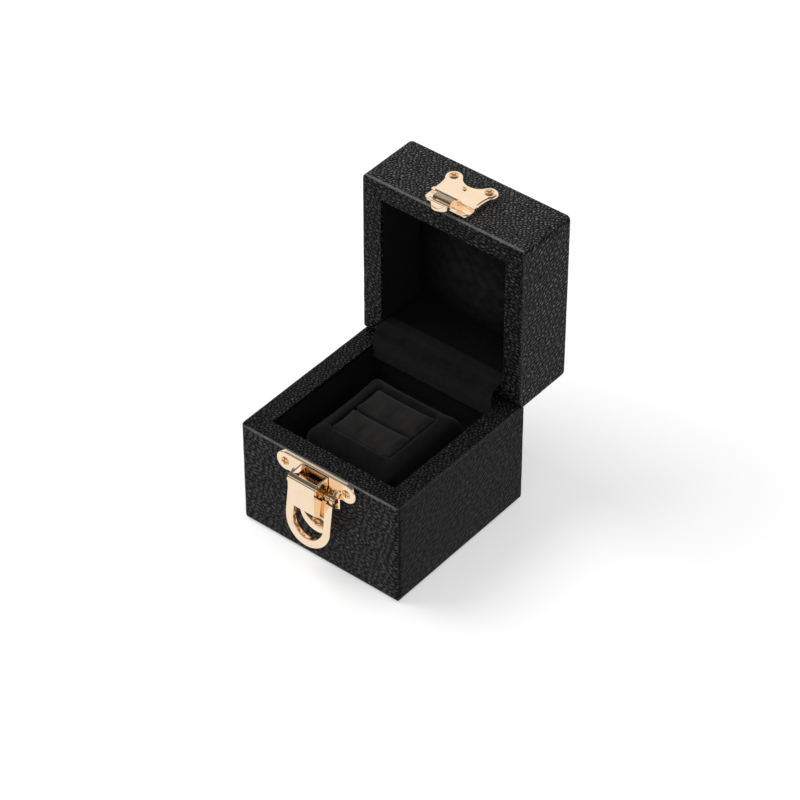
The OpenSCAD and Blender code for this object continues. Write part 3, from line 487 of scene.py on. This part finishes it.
def plumped(bm, centre, radius, other):
    # the leather swells a little towards the edge that it meets
    towards = (other - centre).normalized()
    for v in bm.verts:
        arm = Vector((0, v.co.y, v.co.z)) - centre
        turn = arm.normalized().dot(towards)
        if abs(arm.length - radius) < wrap["plumpBand"] and turn > wrap["plumpFrom"]:
            v.co += arm.normalized() * wrap["plump"] * (turn - wrap["plumpFrom"]) / (1 - wrap["plumpFrom"])


def wearAndHighlightAt(place, mean, swing, length):
    return mean + swing * noise.noise(place / length)


def leatherWrap(name, node, low, high, rim, toShut, material):
    bm = copiedMesh(node, dissolved=False)
    if toShut:
        bm.transform(toShut)
    centre = (low + high) / 2
    # cuts along the mitred seams at the rim's corners, then a grid over all of it
    for side in (1, -1):
        for corner in (1, -1):
            spot = Vector((side * high.x, corner * high.y, rim))
            normal = Vector((side, -corner, 0)).normalized()
            for k in (-1, 0, 1):
                cutPlane(bm, spot + normal * k * wrap["seamWidth"] / 2, normal)
    gridCut(bm, low, high, wrap["gridStep"], wrap["border"])
    bm.normal_update()
    fold = bm.verts.layers.float.new("fold")
    half = (high - low) / 2
    rimUp = rim > centre.z
    moved = []
    for v in bm.verts:
        off = [abs(v.co[i] - centre[i]) - half[i] for i in range(3)]
        outside = [o > -wrap["nearOutside"] for o in off]
        onRim = abs(v.co.z - rim) < wrap["nearRim"]
        # along the rim's edge the colour is painted lighter, fully on the front and less on the sides: wear and a
        # painted highlight
        wornAndLitRim = abs(v.co.z - rim) < wrap["rimEdge"] and (outside[0] or outside[1])
        if wornAndLitRim:
            wearAndHighlight = wearAndHighlightAt(v.co, *wrap["rimWearAndHighlight"])
            v[fold] = wearAndHighlight if outside[1] else wearAndHighlight * wrap["sideWearAndHighlight"]
        elif sum(outside) > 1:
            v[fold] = wearAndHighlightAt(v.co, *wrap["edgeWearAndHighlight"])
        if not any(outside) and not onRim:
            continue
        wave = noise.noise(v.co / wrap["waveLength"]) * wrap["wave"]
        if sum(outside) > 1:
            wave += noise.noise(v.co / wrap["edgeWaveLength"]) * wrap["edgeWave"]
        if onRim and not any(outside):
            wave *= wrap["rimWave"]
        push = v.normal * min(wave, wrap["mostOut"])
        if onRim and abs(abs(v.co.x) - abs(v.co.y)) < wrap["nearSeam"]:
            push.z += (-1 if rimUp else 1) * wrap["seamDepth"]
        moved.append((v, push))
    radius = wrap["corner"]
    for v, push in moved:
        core = Vector([min(max(v.co[i], low[i] + radius), high[i] - radius) for i in range(3)])
        core.z = max(v.co.z, low.z + radius) if rimUp else min(v.co.z, high.z - radius)
        arm = v.co - core
        if arm.length > radius:
            v.co = core + arm.normalized() * radius
        v.co += push
        if rimUp:
            v.co.z = max(v.co.z, low.z)     # the underside stays on the table
    if toShut:
        bm.transform(openLid)
    rearOfBase = Vector((0, baseHigh.y - wrap["baseRear"], baseHigh.z - wrap["baseRear"]))
    rearOfLid = Vector((0, lidLow.y + wrap["lidRear"], lidLow.z + wrap["lidRear"]))
    if toShut:
        plumped(bm, rearOfLid, wrap["lidRear"], rearOfBase)
    else:
        plumped(bm, rearOfBase, wrap["baseRear"], rearOfLid)
    return addPiece(name, bm, material, [node])


shutLow, shutHigh = shutBox("lid_leather")
leatherWrap("baseLeather", "base_leather", baseLow, baseHigh, rimZ, None, baseHide)
leatherWrap("lidLeather", "lid_leather", shutLow, shutHigh, shutLow.z, shutLid, lidHide)
print("leather wrapped")


# gold hardware: the castings with their edges broken

screws = {
    "headRadius": 1.9 * mm,
    "headProud": 0.3 * mm,
    "clear": 2.3 * mm,           # the wide rounding ends this far from a screw
    "nearFace": 0.02 * mm,
    "hookAway": 6.0 * mm,        # from the rivet to the root of the hook
}
plateScrewsLow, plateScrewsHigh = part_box("latch_plate_screws")
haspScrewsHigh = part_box("hasp_screws")[1]
earX, earZ = plateScrewsHigh.x - screws["headRadius"], plateScrewsHigh.z - screws["headRadius"]
lobeZ = plateScrewsLow.z + screws["headRadius"]
hornX, hornY = haspScrewsHigh.x - screws["headRadius"], haspScrewsHigh.y - screws["headRadius"]
rivetY = sum(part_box("hasp_rivet"), Vector()).y / 2
hookRoot = rivetY - screws["hookAway"]

# round a plate's face: width of the rounding, axis and place of the face, screws to keep clear of
outlines = {
    "latchPlate": (0.6 * mm, 1, plateScrewsLow.y + screws["headProud"],
                   ((earX, 0, earZ), (-earX, 0, earZ), (0, 0, lobeZ))),
    "hasp": (0.9 * mm, 2, haspScrewsHigh.z - screws["headProud"],
             ((hornX, hornY, 0), (-hornX, hornY, 0), (0, rivetY, 0))),
}
# node, finish and how far the edges are broken
castings = {
    "latchPlate": ("latch_plate", gold, 0.12 * mm),
    "hasp": ("hasp", gold, 0.14 * mm),
    "latchLever": ("latch_lever", gold, 0.1 * mm),
    "latchScrews": ("latch_plate_screws", screwGold, 0.08 * mm),
    "haspScrews": ("hasp_screws", screwGold, 0.08 * mm),
    "haspRivet": ("hasp_rivet", screwGold, 0.1 * mm),
    "latchPin": ("latch_pin", screwGold, 0.1 * mm),
    "hingeBaseLeaves": ("hinge_base_leaves", brass, 0.08 * mm),
    "hingeLidLeaves": ("hinge_lid_leaves", brass, 0.08 * mm),
    "hingePins": ("hinge_pins", wire, 0.08 * mm),
}


def onOutline(edge, axis, place, centres):
    # on the plate's face, away from the screws, and not on the hasp's hook
    if any(abs(v.co[axis] - place) > screws["nearFace"] or 0 < v.co.y < hookRoot for v in edge.verts):
        return False
    away = [edge.verts[0].co - Vector(c) for c in centres]
    for a in away:
        a[axis] = 0
    return all(a.length > screws["clear"] for a in away)


# the D-shaped ring is rounder than the hood above it
ringLook = {"width": 0.35 * mm, "top": 33.4 * mm}


def onRing(edge):
    return all(v.co.z < ringLook["top"] for v in edge.verts)


for name, (node, material, width) in castings.items():
    bm = copiedMesh(node, dissolved=False)
    if name in outlines:
        wide, axis, place, centres = outlines[name]
        breakEdges(bm, [e for e in convexEdges(bm) if onOutline(e, axis, place, centres)], wide, "ALL")
    if name == "latchLever":
        breakEdges(bm, [e for e in convexEdges(bm) if onRing(e)], ringLook["width"], "ALL")
    known = name in outlines or name == "latchLever"
    breakEdges(bm, convexEdges(bm), width, "NEW" if known else "ALL")
    flats = addPiece(name, bm, material, [node], smooth=24).modifiers.new("flats", "WEIGHTED_NORMAL")
    flats.keep_sharp = True
    flats.use_face_influence = True
print("hardware dressed")


# wood, card and flat sheets

# node, finish and how far the edges are broken
boards = {
    "baseFloorBoard": ("base_floor_board", suede, 0.4 * mm),
    "baseBottomSheet": ("base_bottom_sheet", flockedPaper, 0.1 * mm),
    "baseRiser": ("base_riser", greyCard, 0.1 * mm),
    "padBoard": ("pad_board", suede, 0.1 * mm),
    "lidBoard": ("lid_board", suede, 0.1 * mm),
    "baseCore": ("base_core", fibreboard, 0.2 * mm),
    "lidCore": ("lid_core", fibreboard, 0.2 * mm),
    "latchSpring": ("latch_spring", wire, 0.0),
}
for name, (node, material, width) in boards.items():
    bm = copiedMesh(node)
    if width:
        breakEdges(bm, convexEdges(bm), width)
    addPiece(name, bm, material, [node])
print("boards made")


# suede linings with a rolled edge along the mouth

liningLook = {
    "thick": 0.9 * mm,
    "corner": 0.3 * mm,
    "roll": 0.6 * mm,            # radius of the rolled edge
    "proud": 0.6 * mm,           # how far it stands in front of the lining
    "wave": 0.1 * mm,
    "waveLength": 14 * mm,
    "waveShare": 0.3,
    "rollTurn": (110, -90),      # degrees, from the wall side over the mouth
    "steps": 8,
}


def wallLining(name, node, low, high, onLid):
    # from the outer face at the foot, over the rolled edge at the mouth, down the inner face
    look = liningLook
    height = high.z - low.z
    roll, thick, steps = look["roll"], look["thick"], look["steps"]
    profile = [(0.0, 0.0), (0.0, height / 2), (0.0, height - roll)]
    profile += arc((thick + look["proud"] - roll, height - roll), roll, *look["rollTurn"], steps)
    profile += [(thick, (height - 3 * roll) * (1 - k / steps)) for k in range(steps + 1)]
    rings = []
    for inwards, up in profile:
        z = high.z - up if onLid else low.z + up
        share = look["waveShare"] if inwards >= thick / 2 else 0.0
        ring = []
        half = (high.x - inwards, high.y - inwards)
        for p in rectLoop(half, look["corner"], pull=0.0, perSide=30, perCorner=2):
            wave = noise.noise(Vector((p.x, p.y, z)) / look["waveLength"]) * look["wave"]
            ring.append(Vector((p.x, p.y, z)) - p.normalized() * (wave + look["wave"]) * share)
        rings.append(ring)
    bm, loops = loft(rings)
    bmesh.ops.bridge_loops(bm, edges=loops[-1] + loops[0])
    if onLid:
        bm.transform(openLid)
    return addPiece(name, bm, suede, [node], smooth=60)


wallLining("baseWallLining", "base_wall_lining", *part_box("base_wall_lining"), False)
wallLining("lidWallLining", "lid_wall_lining", *shutBox("lid_wall_lining"), True)
print("linings made")


# padded pieces

puff = {
    "scale": 10.0,               # the cloth behaves better on a larger piece
    "pressure": 4.0,
    "stiffness": 12.0,
    "quality": 5,
    "frames": 20,
    "footBand": 0.6 * mm,
    "sideways": 0.12 * mm,       # most that the sides may move
}


def finalMesh(piece):
    return bpy.data.meshes.new_from_object(piece.evaluated_get(bpy.context.evaluated_depsgraph_get()))


def swollen(bm, look, floorZ, topZ):
    # the padding pushes the suede out: most at the top, little at the sides, nothing at the foot
    scale = puff["scale"]
    start = bpy.data.meshes.new("padStart")
    bm.transform(Matrix.Scale(scale, 4))
    bm.to_mesh(start)
    bm.free()
    pad = bpy.data.objects.new("padStart", start)
    sceneData.collection.objects.link(pad)
    remesh = pad.modifiers.new("even", "REMESH")
    remesh.mode = "VOXEL"
    remesh.voxel_size = look["voxel"] * scale
    even = finalMesh(pad)
    pad.modifiers.clear()
    pad.data = even
    rest = [v.co.copy() for v in even.vertices]
    foot = pad.vertex_groups.new(name="foot")
    foot.add([i for i, p in enumerate(rest) if p.z < (floorZ + puff["footBand"]) * scale], 1.0, "REPLACE")
    cloth = pad.modifiers.new("fill", "CLOTH")
    cloth.settings.quality = puff["quality"]
    cloth.settings.use_pressure = True
    cloth.settings.uniform_pressure_force = puff["pressure"]
    cloth.settings.tension_stiffness = puff["stiffness"]
    cloth.settings.compression_stiffness = puff["stiffness"]
    cloth.settings.vertex_group_mass = "foot"
    cloth.settings.effector_weights.gravity = 0
    cloth.point_cache.frame_start = 1
    cloth.point_cache.frame_end = puff["frames"]
    for frameNumber in range(1, puff["frames"] + 1):
        sceneData.frame_set(frameNumber)
    made = bmesh.new()
    made.from_mesh(finalMesh(pad))
    for v, was in zip(made.verts, rest):
        share = min(max((was.z / scale - floorZ) / (topZ - floorZ), 0), 1)
        upwards = look["cap"] * scale * share * share
        sideways = puff["sideways"] * scale * share
        move = v.co - was
        flat = Vector((move.x, move.y, 0))
        if flat.length > sideways:
            flat = flat.normalized() * sideways
        v.co = was + flat + Vector((0, 0, max(-upwards, min(upwards, move.z))))
    bmesh.ops.smooth_vert(made, verts=made.verts, factor=0.5, use_axis_x=True, use_axis_y=True,
                          use_axis_z=True)
    made.transform(Matrix.Scale(1 / scale, 4))
    sceneData.frame_set(1)
    bpy.data.objects.remove(pad)
    return made


def addSubdivision(piece):
    made = piece.modifiers.new("soft", "SUBSURF")
    made.levels = made.render_levels = 1


blockLook = {
    "shoulder": 5.3 * mm,
    "corner": 3.0 * mm,
    "draft": 0.5 * mm,           # how much the block narrows on each side to its top
    "draftFrom": 3.5 * mm,
    "pull": 0.9 * mm,            # how far the sides pull in between the corners
    "footIn": 0.8 * mm,
    "footUp": 0.3 * mm,
    "lip": 0.7 * mm,             # rounding round the well
    "crown": 0.18 * mm,          # swell of the band between the shoulder and the lip
    "wellGap": 0.3 * mm,
    "wellStep": 4 * mm,
    "wellDepth": 7.2 * mm,
    "wellInner": 0.6,            # where the last ring lies on the well's floor
    "stillBelow": 2 * mm,        # no unevenness near the foot
    "waveOut": 0.048 * mm,
    "waveOutLength": 7 * mm,
    "waveUp": 0.096 * mm,
    "waveUpLength": 6 * mm,
    "voxel": 0.8 * mm,
    "cap": 0.35 * mm,            # most that the padding lifts the top
}


def cushionBlock(look):
    low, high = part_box("cushion_block")
    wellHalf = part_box("ring_pad_back")[1].x + look["wellGap"]
    lipHalf = wellHalf + look["lip"]
    half, top = high.x, high.z - low.z
    # (distance from the middle, height), from the foot over the shoulder into the well
    shoulder = look["shoulder"]
    profile = [(half - look["footIn"], 0), (half, look["footUp"]),
               (half - look["draft"] / 2, look["draftFrom"])]
    profile += arc((half - look["draft"] - shoulder, top - shoulder), shoulder, 0, 90, 8)
    bandStart = profile[-1][0]
    profile += [(bandStart + (lipHalf - bandStart) * k / 3, top + look["crown"] * math.sin(math.pi * k / 3))
                for k in (1, 2)]
    profile += arc((lipHalf, top - look["lip"]), look["lip"], 90, 180, 4)
    wellFloor = top - look["wellDepth"]
    profile += [(wellHalf, top - look["wellStep"]), (wellHalf, wellFloor),
                (wellHalf * look["wellInner"], wellFloor)]
    rings = []
    for away, up in profile:
        radius = look["corner"] * max(0.15, min(1, (away - wellHalf) / (half - wellHalf)))
        pull = look["pull"] * max(0.0, (away - lipHalf) / (half - wellHalf))
        ring = rectLoop((away, away), radius, pull, perSide=20, perCorner=5)
        rings.append([Vector((p.x, p.y, low.z + up)) for p in ring])
    bm, loops = loft(rings)
    closeEnds(bm, loops)
    for v in bm.verts:
        if v.co.z > low.z + look["stillBelow"]:
            v.co += v.co.normalized() * noise.noise(v.co / look["waveOutLength"]) * look["waveOut"]
            v.co.z += noise.noise(v.co / look["waveUpLength"]) * look["waveUp"]
    bm = swollen(bm, look, low.z, high.z)
    piece = addPiece("cushionBlock", bm, blockSuede, ["cushion_block"], smooth=0)
    addSubdivision(piece)


padLook = {
    "edge": 0.9 * mm,            # rounding of the upper edge
    "edgeShare": 0.9,            # most of the height that it takes
    "footIn": 0.3,               # how far the foot draws in, as a share of that rounding
    "bulge": 0.6,                # height of the widest place below it
    "corner": 1.2 * mm,
    "cornerShare": 0.4,          # and most of a ring's size that the corner takes
    "crown": 0.8 * mm,
    "crownRings": 7,
    "crownEnd": 0.97,            # where the last of them lies on the way to the middle
    "pull": 0.25 * mm,
    "voxel": 0.45 * mm,
    "cap": 0.4 * mm,
}


def paddedBlock(name, node, look, material, low, high, place=None):
    # a crowned pad built with its face upwards, then put in place
    half = ((high.x - low.x) / 2, (high.y - low.y) / 2)
    shorter = min(half)
    top = high.z - low.z
    edge = look["edge"]
    rise = min(edge, top * look["edgeShare"])
    rings, count = [], look["crownRings"]
    # (distance in from the side, height), from the foot over the edge to the middle
    profile = [(edge * look["footIn"], 0), (0.0, (top - rise) * look["bulge"])]
    profile += [(edge * (1 - x), top - rise * (1 - y)) for x, y in arc((0, 0), 1, 0, 90, 6)]
    profile += [(edge + (shorter - edge) * look["crownEnd"] * k / count,
                 top + look["crown"] * math.sin(math.pi / 2 * k / count)) for k in range(1, count + 1)]
    for inset, up in profile:
        size = (half[0] - inset, half[1] - inset)
        radius = max(min(look["corner"], min(size) * look["cornerShare"]), 0.02 * mm)
        pull = look["pull"] * min(1, up / top) * max(0, 1 - inset / shorter)
        ring = rectLoop(size, radius, pull, perSide=16, perCorner=4)
        rings.append([Vector((p.x, p.y, up)) for p in ring])
    bm, loops = loft(rings)
    closeEnds(bm, loops)
    bm = swollen(bm, look, 0, top)
    bm.transform(Matrix.Translation(((low.x + high.x) / 2, (low.y + high.y) / 2, low.z)))
    if place:
        bm.transform(place)
    piece = addPiece(name, bm, material, [node], smooth=0)
    addSubdivision(piece)


cushionBlock(blockLook)
paddedBlock("ringPadFront", "ring_pad_front", padLook, padSuede, *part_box("ring_pad_front"))
paddedBlock("ringPadBack", "ring_pad_back", padLook, padSuede, *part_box("ring_pad_back"))

lidPadLook = dict(padLook, edge=5.0 * mm, corner=3.5 * mm, crown=2.2 * mm, pull=0.3 * mm,
                  voxel=0.9 * mm, cap=0.5 * mm)
padLow, padHigh = shutBox("lid_pad")
faceDown = Matrix.Translation((0, 0, padLow.z + padHigh.z)) @ Matrix.Rotation(math.pi, 4, "X")
paddedBlock("lidPad", "lid_pad", lidPadLook, litPanelSuede, padLow, padHigh, openLid @ faceDown)
print("pads made")


# strip over the hinges

stripLook = {
    "thick": 0.8 * mm,
    "swell": 1.5 * mm,           # how far the foam lifts the strip over the hinges
    "overBase": 4.4 * mm,
    "underLid": 4.2 * mm,
    "hem": 0.35 * mm,
    "tail": 5 * mm,              # flat ends that are glued to the base and the lid
    "tailSteps": 4,
    "freeSteps": 6,              # from the tail on, over which the ripple sets in
    "along": 26,
    "across": 36,
    "ripple": 0.12 * mm,
    "rippleLength": 9 * mm,
    "rippleStep": 2 * mm,
}


def hingeStrip(look):
    low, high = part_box("hinge_strip")
    half, t = high.x, look["thick"] / 2
    yBase, zLid = low.y + t, high.z - t
    swell, tail, tailSteps = look["swell"], look["tail"], look["tailSteps"]
    a = Vector((0, yBase, rimZ))
    b = Vector((0, yBase - swell / 2, rimZ + look["overBase"] + swell))
    c = Vector((0, lidRimY - look["underLid"] - swell, zLid + swell / 2))
    d = Vector((0, lidRimY, zLid))
    path = [Vector((0, yBase, rimZ - tail * (1 - k / tailSteps))) for k in range(tailSteps)]
    for k in range(look["along"] + 1):
        s = k / look["along"]
        path.append(a * (1 - s) ** 3 + b * 3 * s * (1 - s) ** 2 + c * 3 * s * s * (1 - s) + d * s ** 3)
    path += [Vector((0, lidRimY + tail * k / tailSteps, zLid)) for k in range(1, tailSteps + 1)]
    last = len(path) - 1
    bm = bmesh.new()
    for side in (1, -1):
        sheet = bmesh.ops.create_grid(bm, x_segments=look["across"], y_segments=last, size=1)["verts"]
        for v in sheet:
            i = round((v.co.y + 1) / 2 * last)
            along = (path[min(i + 1, last)] - path[max(i - 1, 0)]).normalized()
            out = Vector((0, -along.z, along.y))
            fromTail = min(i - tailSteps, last - tailSteps - i)
            free = max(0, min(1, fromTail / look["freeSteps"]))
            x = half * v.co.x
            wave = noise.noise(Vector((x, i * look["rippleStep"], 0)) / look["rippleLength"])
            hem = look["hem"] if i < 2 and side > 0 else 0.0
            v.co = path[i] + Vector((x, 0, 0)) + out * (side * t + wave * look["ripple"] * free + hem)
    bmesh.ops.bridge_loops(bm, edges=[e for e in bm.edges if e.is_boundary])
    piece = addPiece("hingeStrip", bm, stripSuede, ["hinge_strip"], "none", smooth=60)
    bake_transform(piece)


hingeStrip(stripLook)
print("hinge strip made")


# floor, lights and camera

studio = {
    "floorSize": 4.0,
    "floorDrop": 0.02 * mm,      # keeps the floor clear of the underside
    "floorColour": (0.86, 0.86, 0.86, 1),
    "floorGlow": 0.48,
    "floorFade": (0.16, 0.5),    # where it starts to fade and where it is plain white
    "floorMirrored": 0.95,
    "ambient": 0.4,
    # what polished metal shows of the room: a dark band low in front, and a dark ceiling
    "bandLow": (-0.06, 0.02),
    "bandHigh": (0.38, 0.5),
    "bandFront": (-0.15, 0.3),
    "bandDark": 0.92,
    "zenith": (0.65, 0.69),
    "zenithLeft": 0.12,
    "keyPlace": (-0.75, -0.25, 1.15), "keySize": 0.9, "keyPower": 8.0,
    "fillPlace": (0.9, -1.1, 0.8), "fillSize": 1.2, "fillPower": 1.2,
    "lampAim": (0, 0, 0.05),
    "cameraPlace": (0.6322, -0.7674, 0.9093),
    "azimuth": 39.11,
    "elevation": 40.61,
    "lens": 150.44,
    "sensor": 36,
}


def makeFloor(look):
    # it keeps the shadow, fades to white for the camera, and is white in mirrors
    bm = bmesh.new()
    bmesh.ops.create_grid(bm, x_segments=1, y_segments=1, size=look["floorSize"] / 2)
    data = bpy.data.meshes.new("floor")
    bm.to_mesh(data)
    bm.free()
    floor = bpy.data.objects.new("floor", data)
    floor.location.z = -look["floorDrop"]
    sceneData.collection.objects.link(floor)
    made = bpy.data.materials.new("whiteFloor")
    made.use_nodes = True
    tree = made.node_tree
    tree.nodes.clear()
    path = addNode(tree, "ShaderNodeLightPath").outputs
    matt = addNode(tree, "ShaderNodeBsdfDiffuse", {"Color": look["floorColour"]})
    glow = addNode(tree, "ShaderNodeEmission",
                   {"Strength": mathNode(tree, "MULTIPLY", path["Is Camera Ray"], look["floorGlow"])})
    near = addNode(tree, "ShaderNodeAddShader", {0: matt.outputs[0], 1: glow.outputs[0]})
    far = vectorNode(tree, "LENGTH", objectPlace(tree))
    fade = mathNode(tree, "MULTIPLY", mapRange(tree, far, *look["floorFade"], 0.0, 1.0),
                    path["Is Camera Ray"])
    plain = addNode(tree, "ShaderNodeEmission", {"Strength": 1.0})
    lit = addNode(tree, "ShaderNodeMixShader", {0: fade, 1: near.outputs[0], 2: plain.outputs[0]})
    white = addNode(tree, "ShaderNodeEmission", {"Strength": look["floorMirrored"]})
    mirror = mathNode(tree, "MAXIMUM", path["Is Glossy Ray"], path["Is Transmission Ray"])
    both = addNode(tree, "ShaderNodeMixShader", {0: mirror, 1: lit.outputs[0], 2: white.outputs[0]})
    out = addNode(tree, "ShaderNodeOutputMaterial")
    tree.links.new(both.outputs[0], out.inputs["Surface"])
    data.materials.append(made)


def makeWorld(look):
    # white for the camera, even grey light for matt surfaces, and the room for polished metal
    world = bpy.data.worlds.new("studio")
    sceneData.world = world
    world.use_nodes = True
    tree = world.node_tree
    path = addNode(tree, "ShaderNodeLightPath").outputs
    direction = addNode(tree, "ShaderNodeTexCoord").outputs["Generated"]
    way = addNode(tree, "ShaderNodeSeparateXYZ", {0: direction}).outputs
    above = mapRange(tree, way[2], *look["bandLow"], 0.0, 1.0)
    below = mapRange(tree, way[2], *look["bandHigh"], 1.0, 0.0)
    ahead = mapRange(tree, mathNode(tree, "MULTIPLY", way[1], -1.0), *look["bandFront"], 0.0, 1.0)
    band = mathNode(tree, "MULTIPLY", mathNode(tree, "MULTIPLY", above, below), ahead)
    shown = mathNode(tree, "MULTIPLY_ADD", band, -look["bandDark"], 1.0)
    ceiling = mapRange(tree, way[2], *look["zenith"], 1.0, look["zenithLeft"])
    shown = mathNode(tree, "MULTIPLY", shown, ceiling)
    extra = mathNode(tree, "SUBTRACT", shown, look["ambient"])
    mirrored = mathNode(tree, "MULTIPLY_ADD", path["Is Glossy Ray"], extra, look["ambient"])
    straight = mathNode(tree, "MAXIMUM", path["Is Camera Ray"], path["Is Transmission Ray"])
    strength = mathNode(tree, "MAXIMUM", mirrored, straight)
    tree.links.new(strength, tree.nodes["Background"].inputs["Strength"])
    tree.nodes["Background"].inputs["Color"].default_value = (1, 1, 1, 1)


def makeLamp(name, look):
    data = bpy.data.lights.new(name, "AREA")
    data.shape = "DISK"
    data.size = look[name + "Size"]
    data.energy = look[name + "Power"]
    lamp = bpy.data.objects.new(name, data)
    lamp.location = look[name + "Place"]
    aim = Vector(look["lampAim"]) - lamp.location
    lamp.rotation_euler = aim.to_track_quat("-Z", "Y").to_euler()
    sceneData.collection.objects.link(lamp)
    return lamp


def makeCamera(look):
    data = bpy.data.cameras.new("camera")
    data.lens = look["lens"]
    data.sensor_width = look["sensor"]
    data.dof.use_dof = False
    camera = bpy.data.objects.new("camera", data)
    camera.location = look["cameraPlace"]
    az, el = math.radians(look["azimuth"]), math.radians(look["elevation"])
    back = Vector((math.sin(az) * math.cos(el), -math.cos(az) * math.cos(el), math.sin(el)))
    camera.rotation_euler = (-back).to_track_quat("-Z", "Y").to_euler()
    sceneData.collection.objects.link(camera)
    sceneData.camera = camera


makeFloor(studio)
makeWorld(studio)
makeLamp("key", studio).visible_glossy = False      # its reflection would burn out the gold's edges
makeLamp("fill", studio)
makeCamera(studio)
print("studio set")
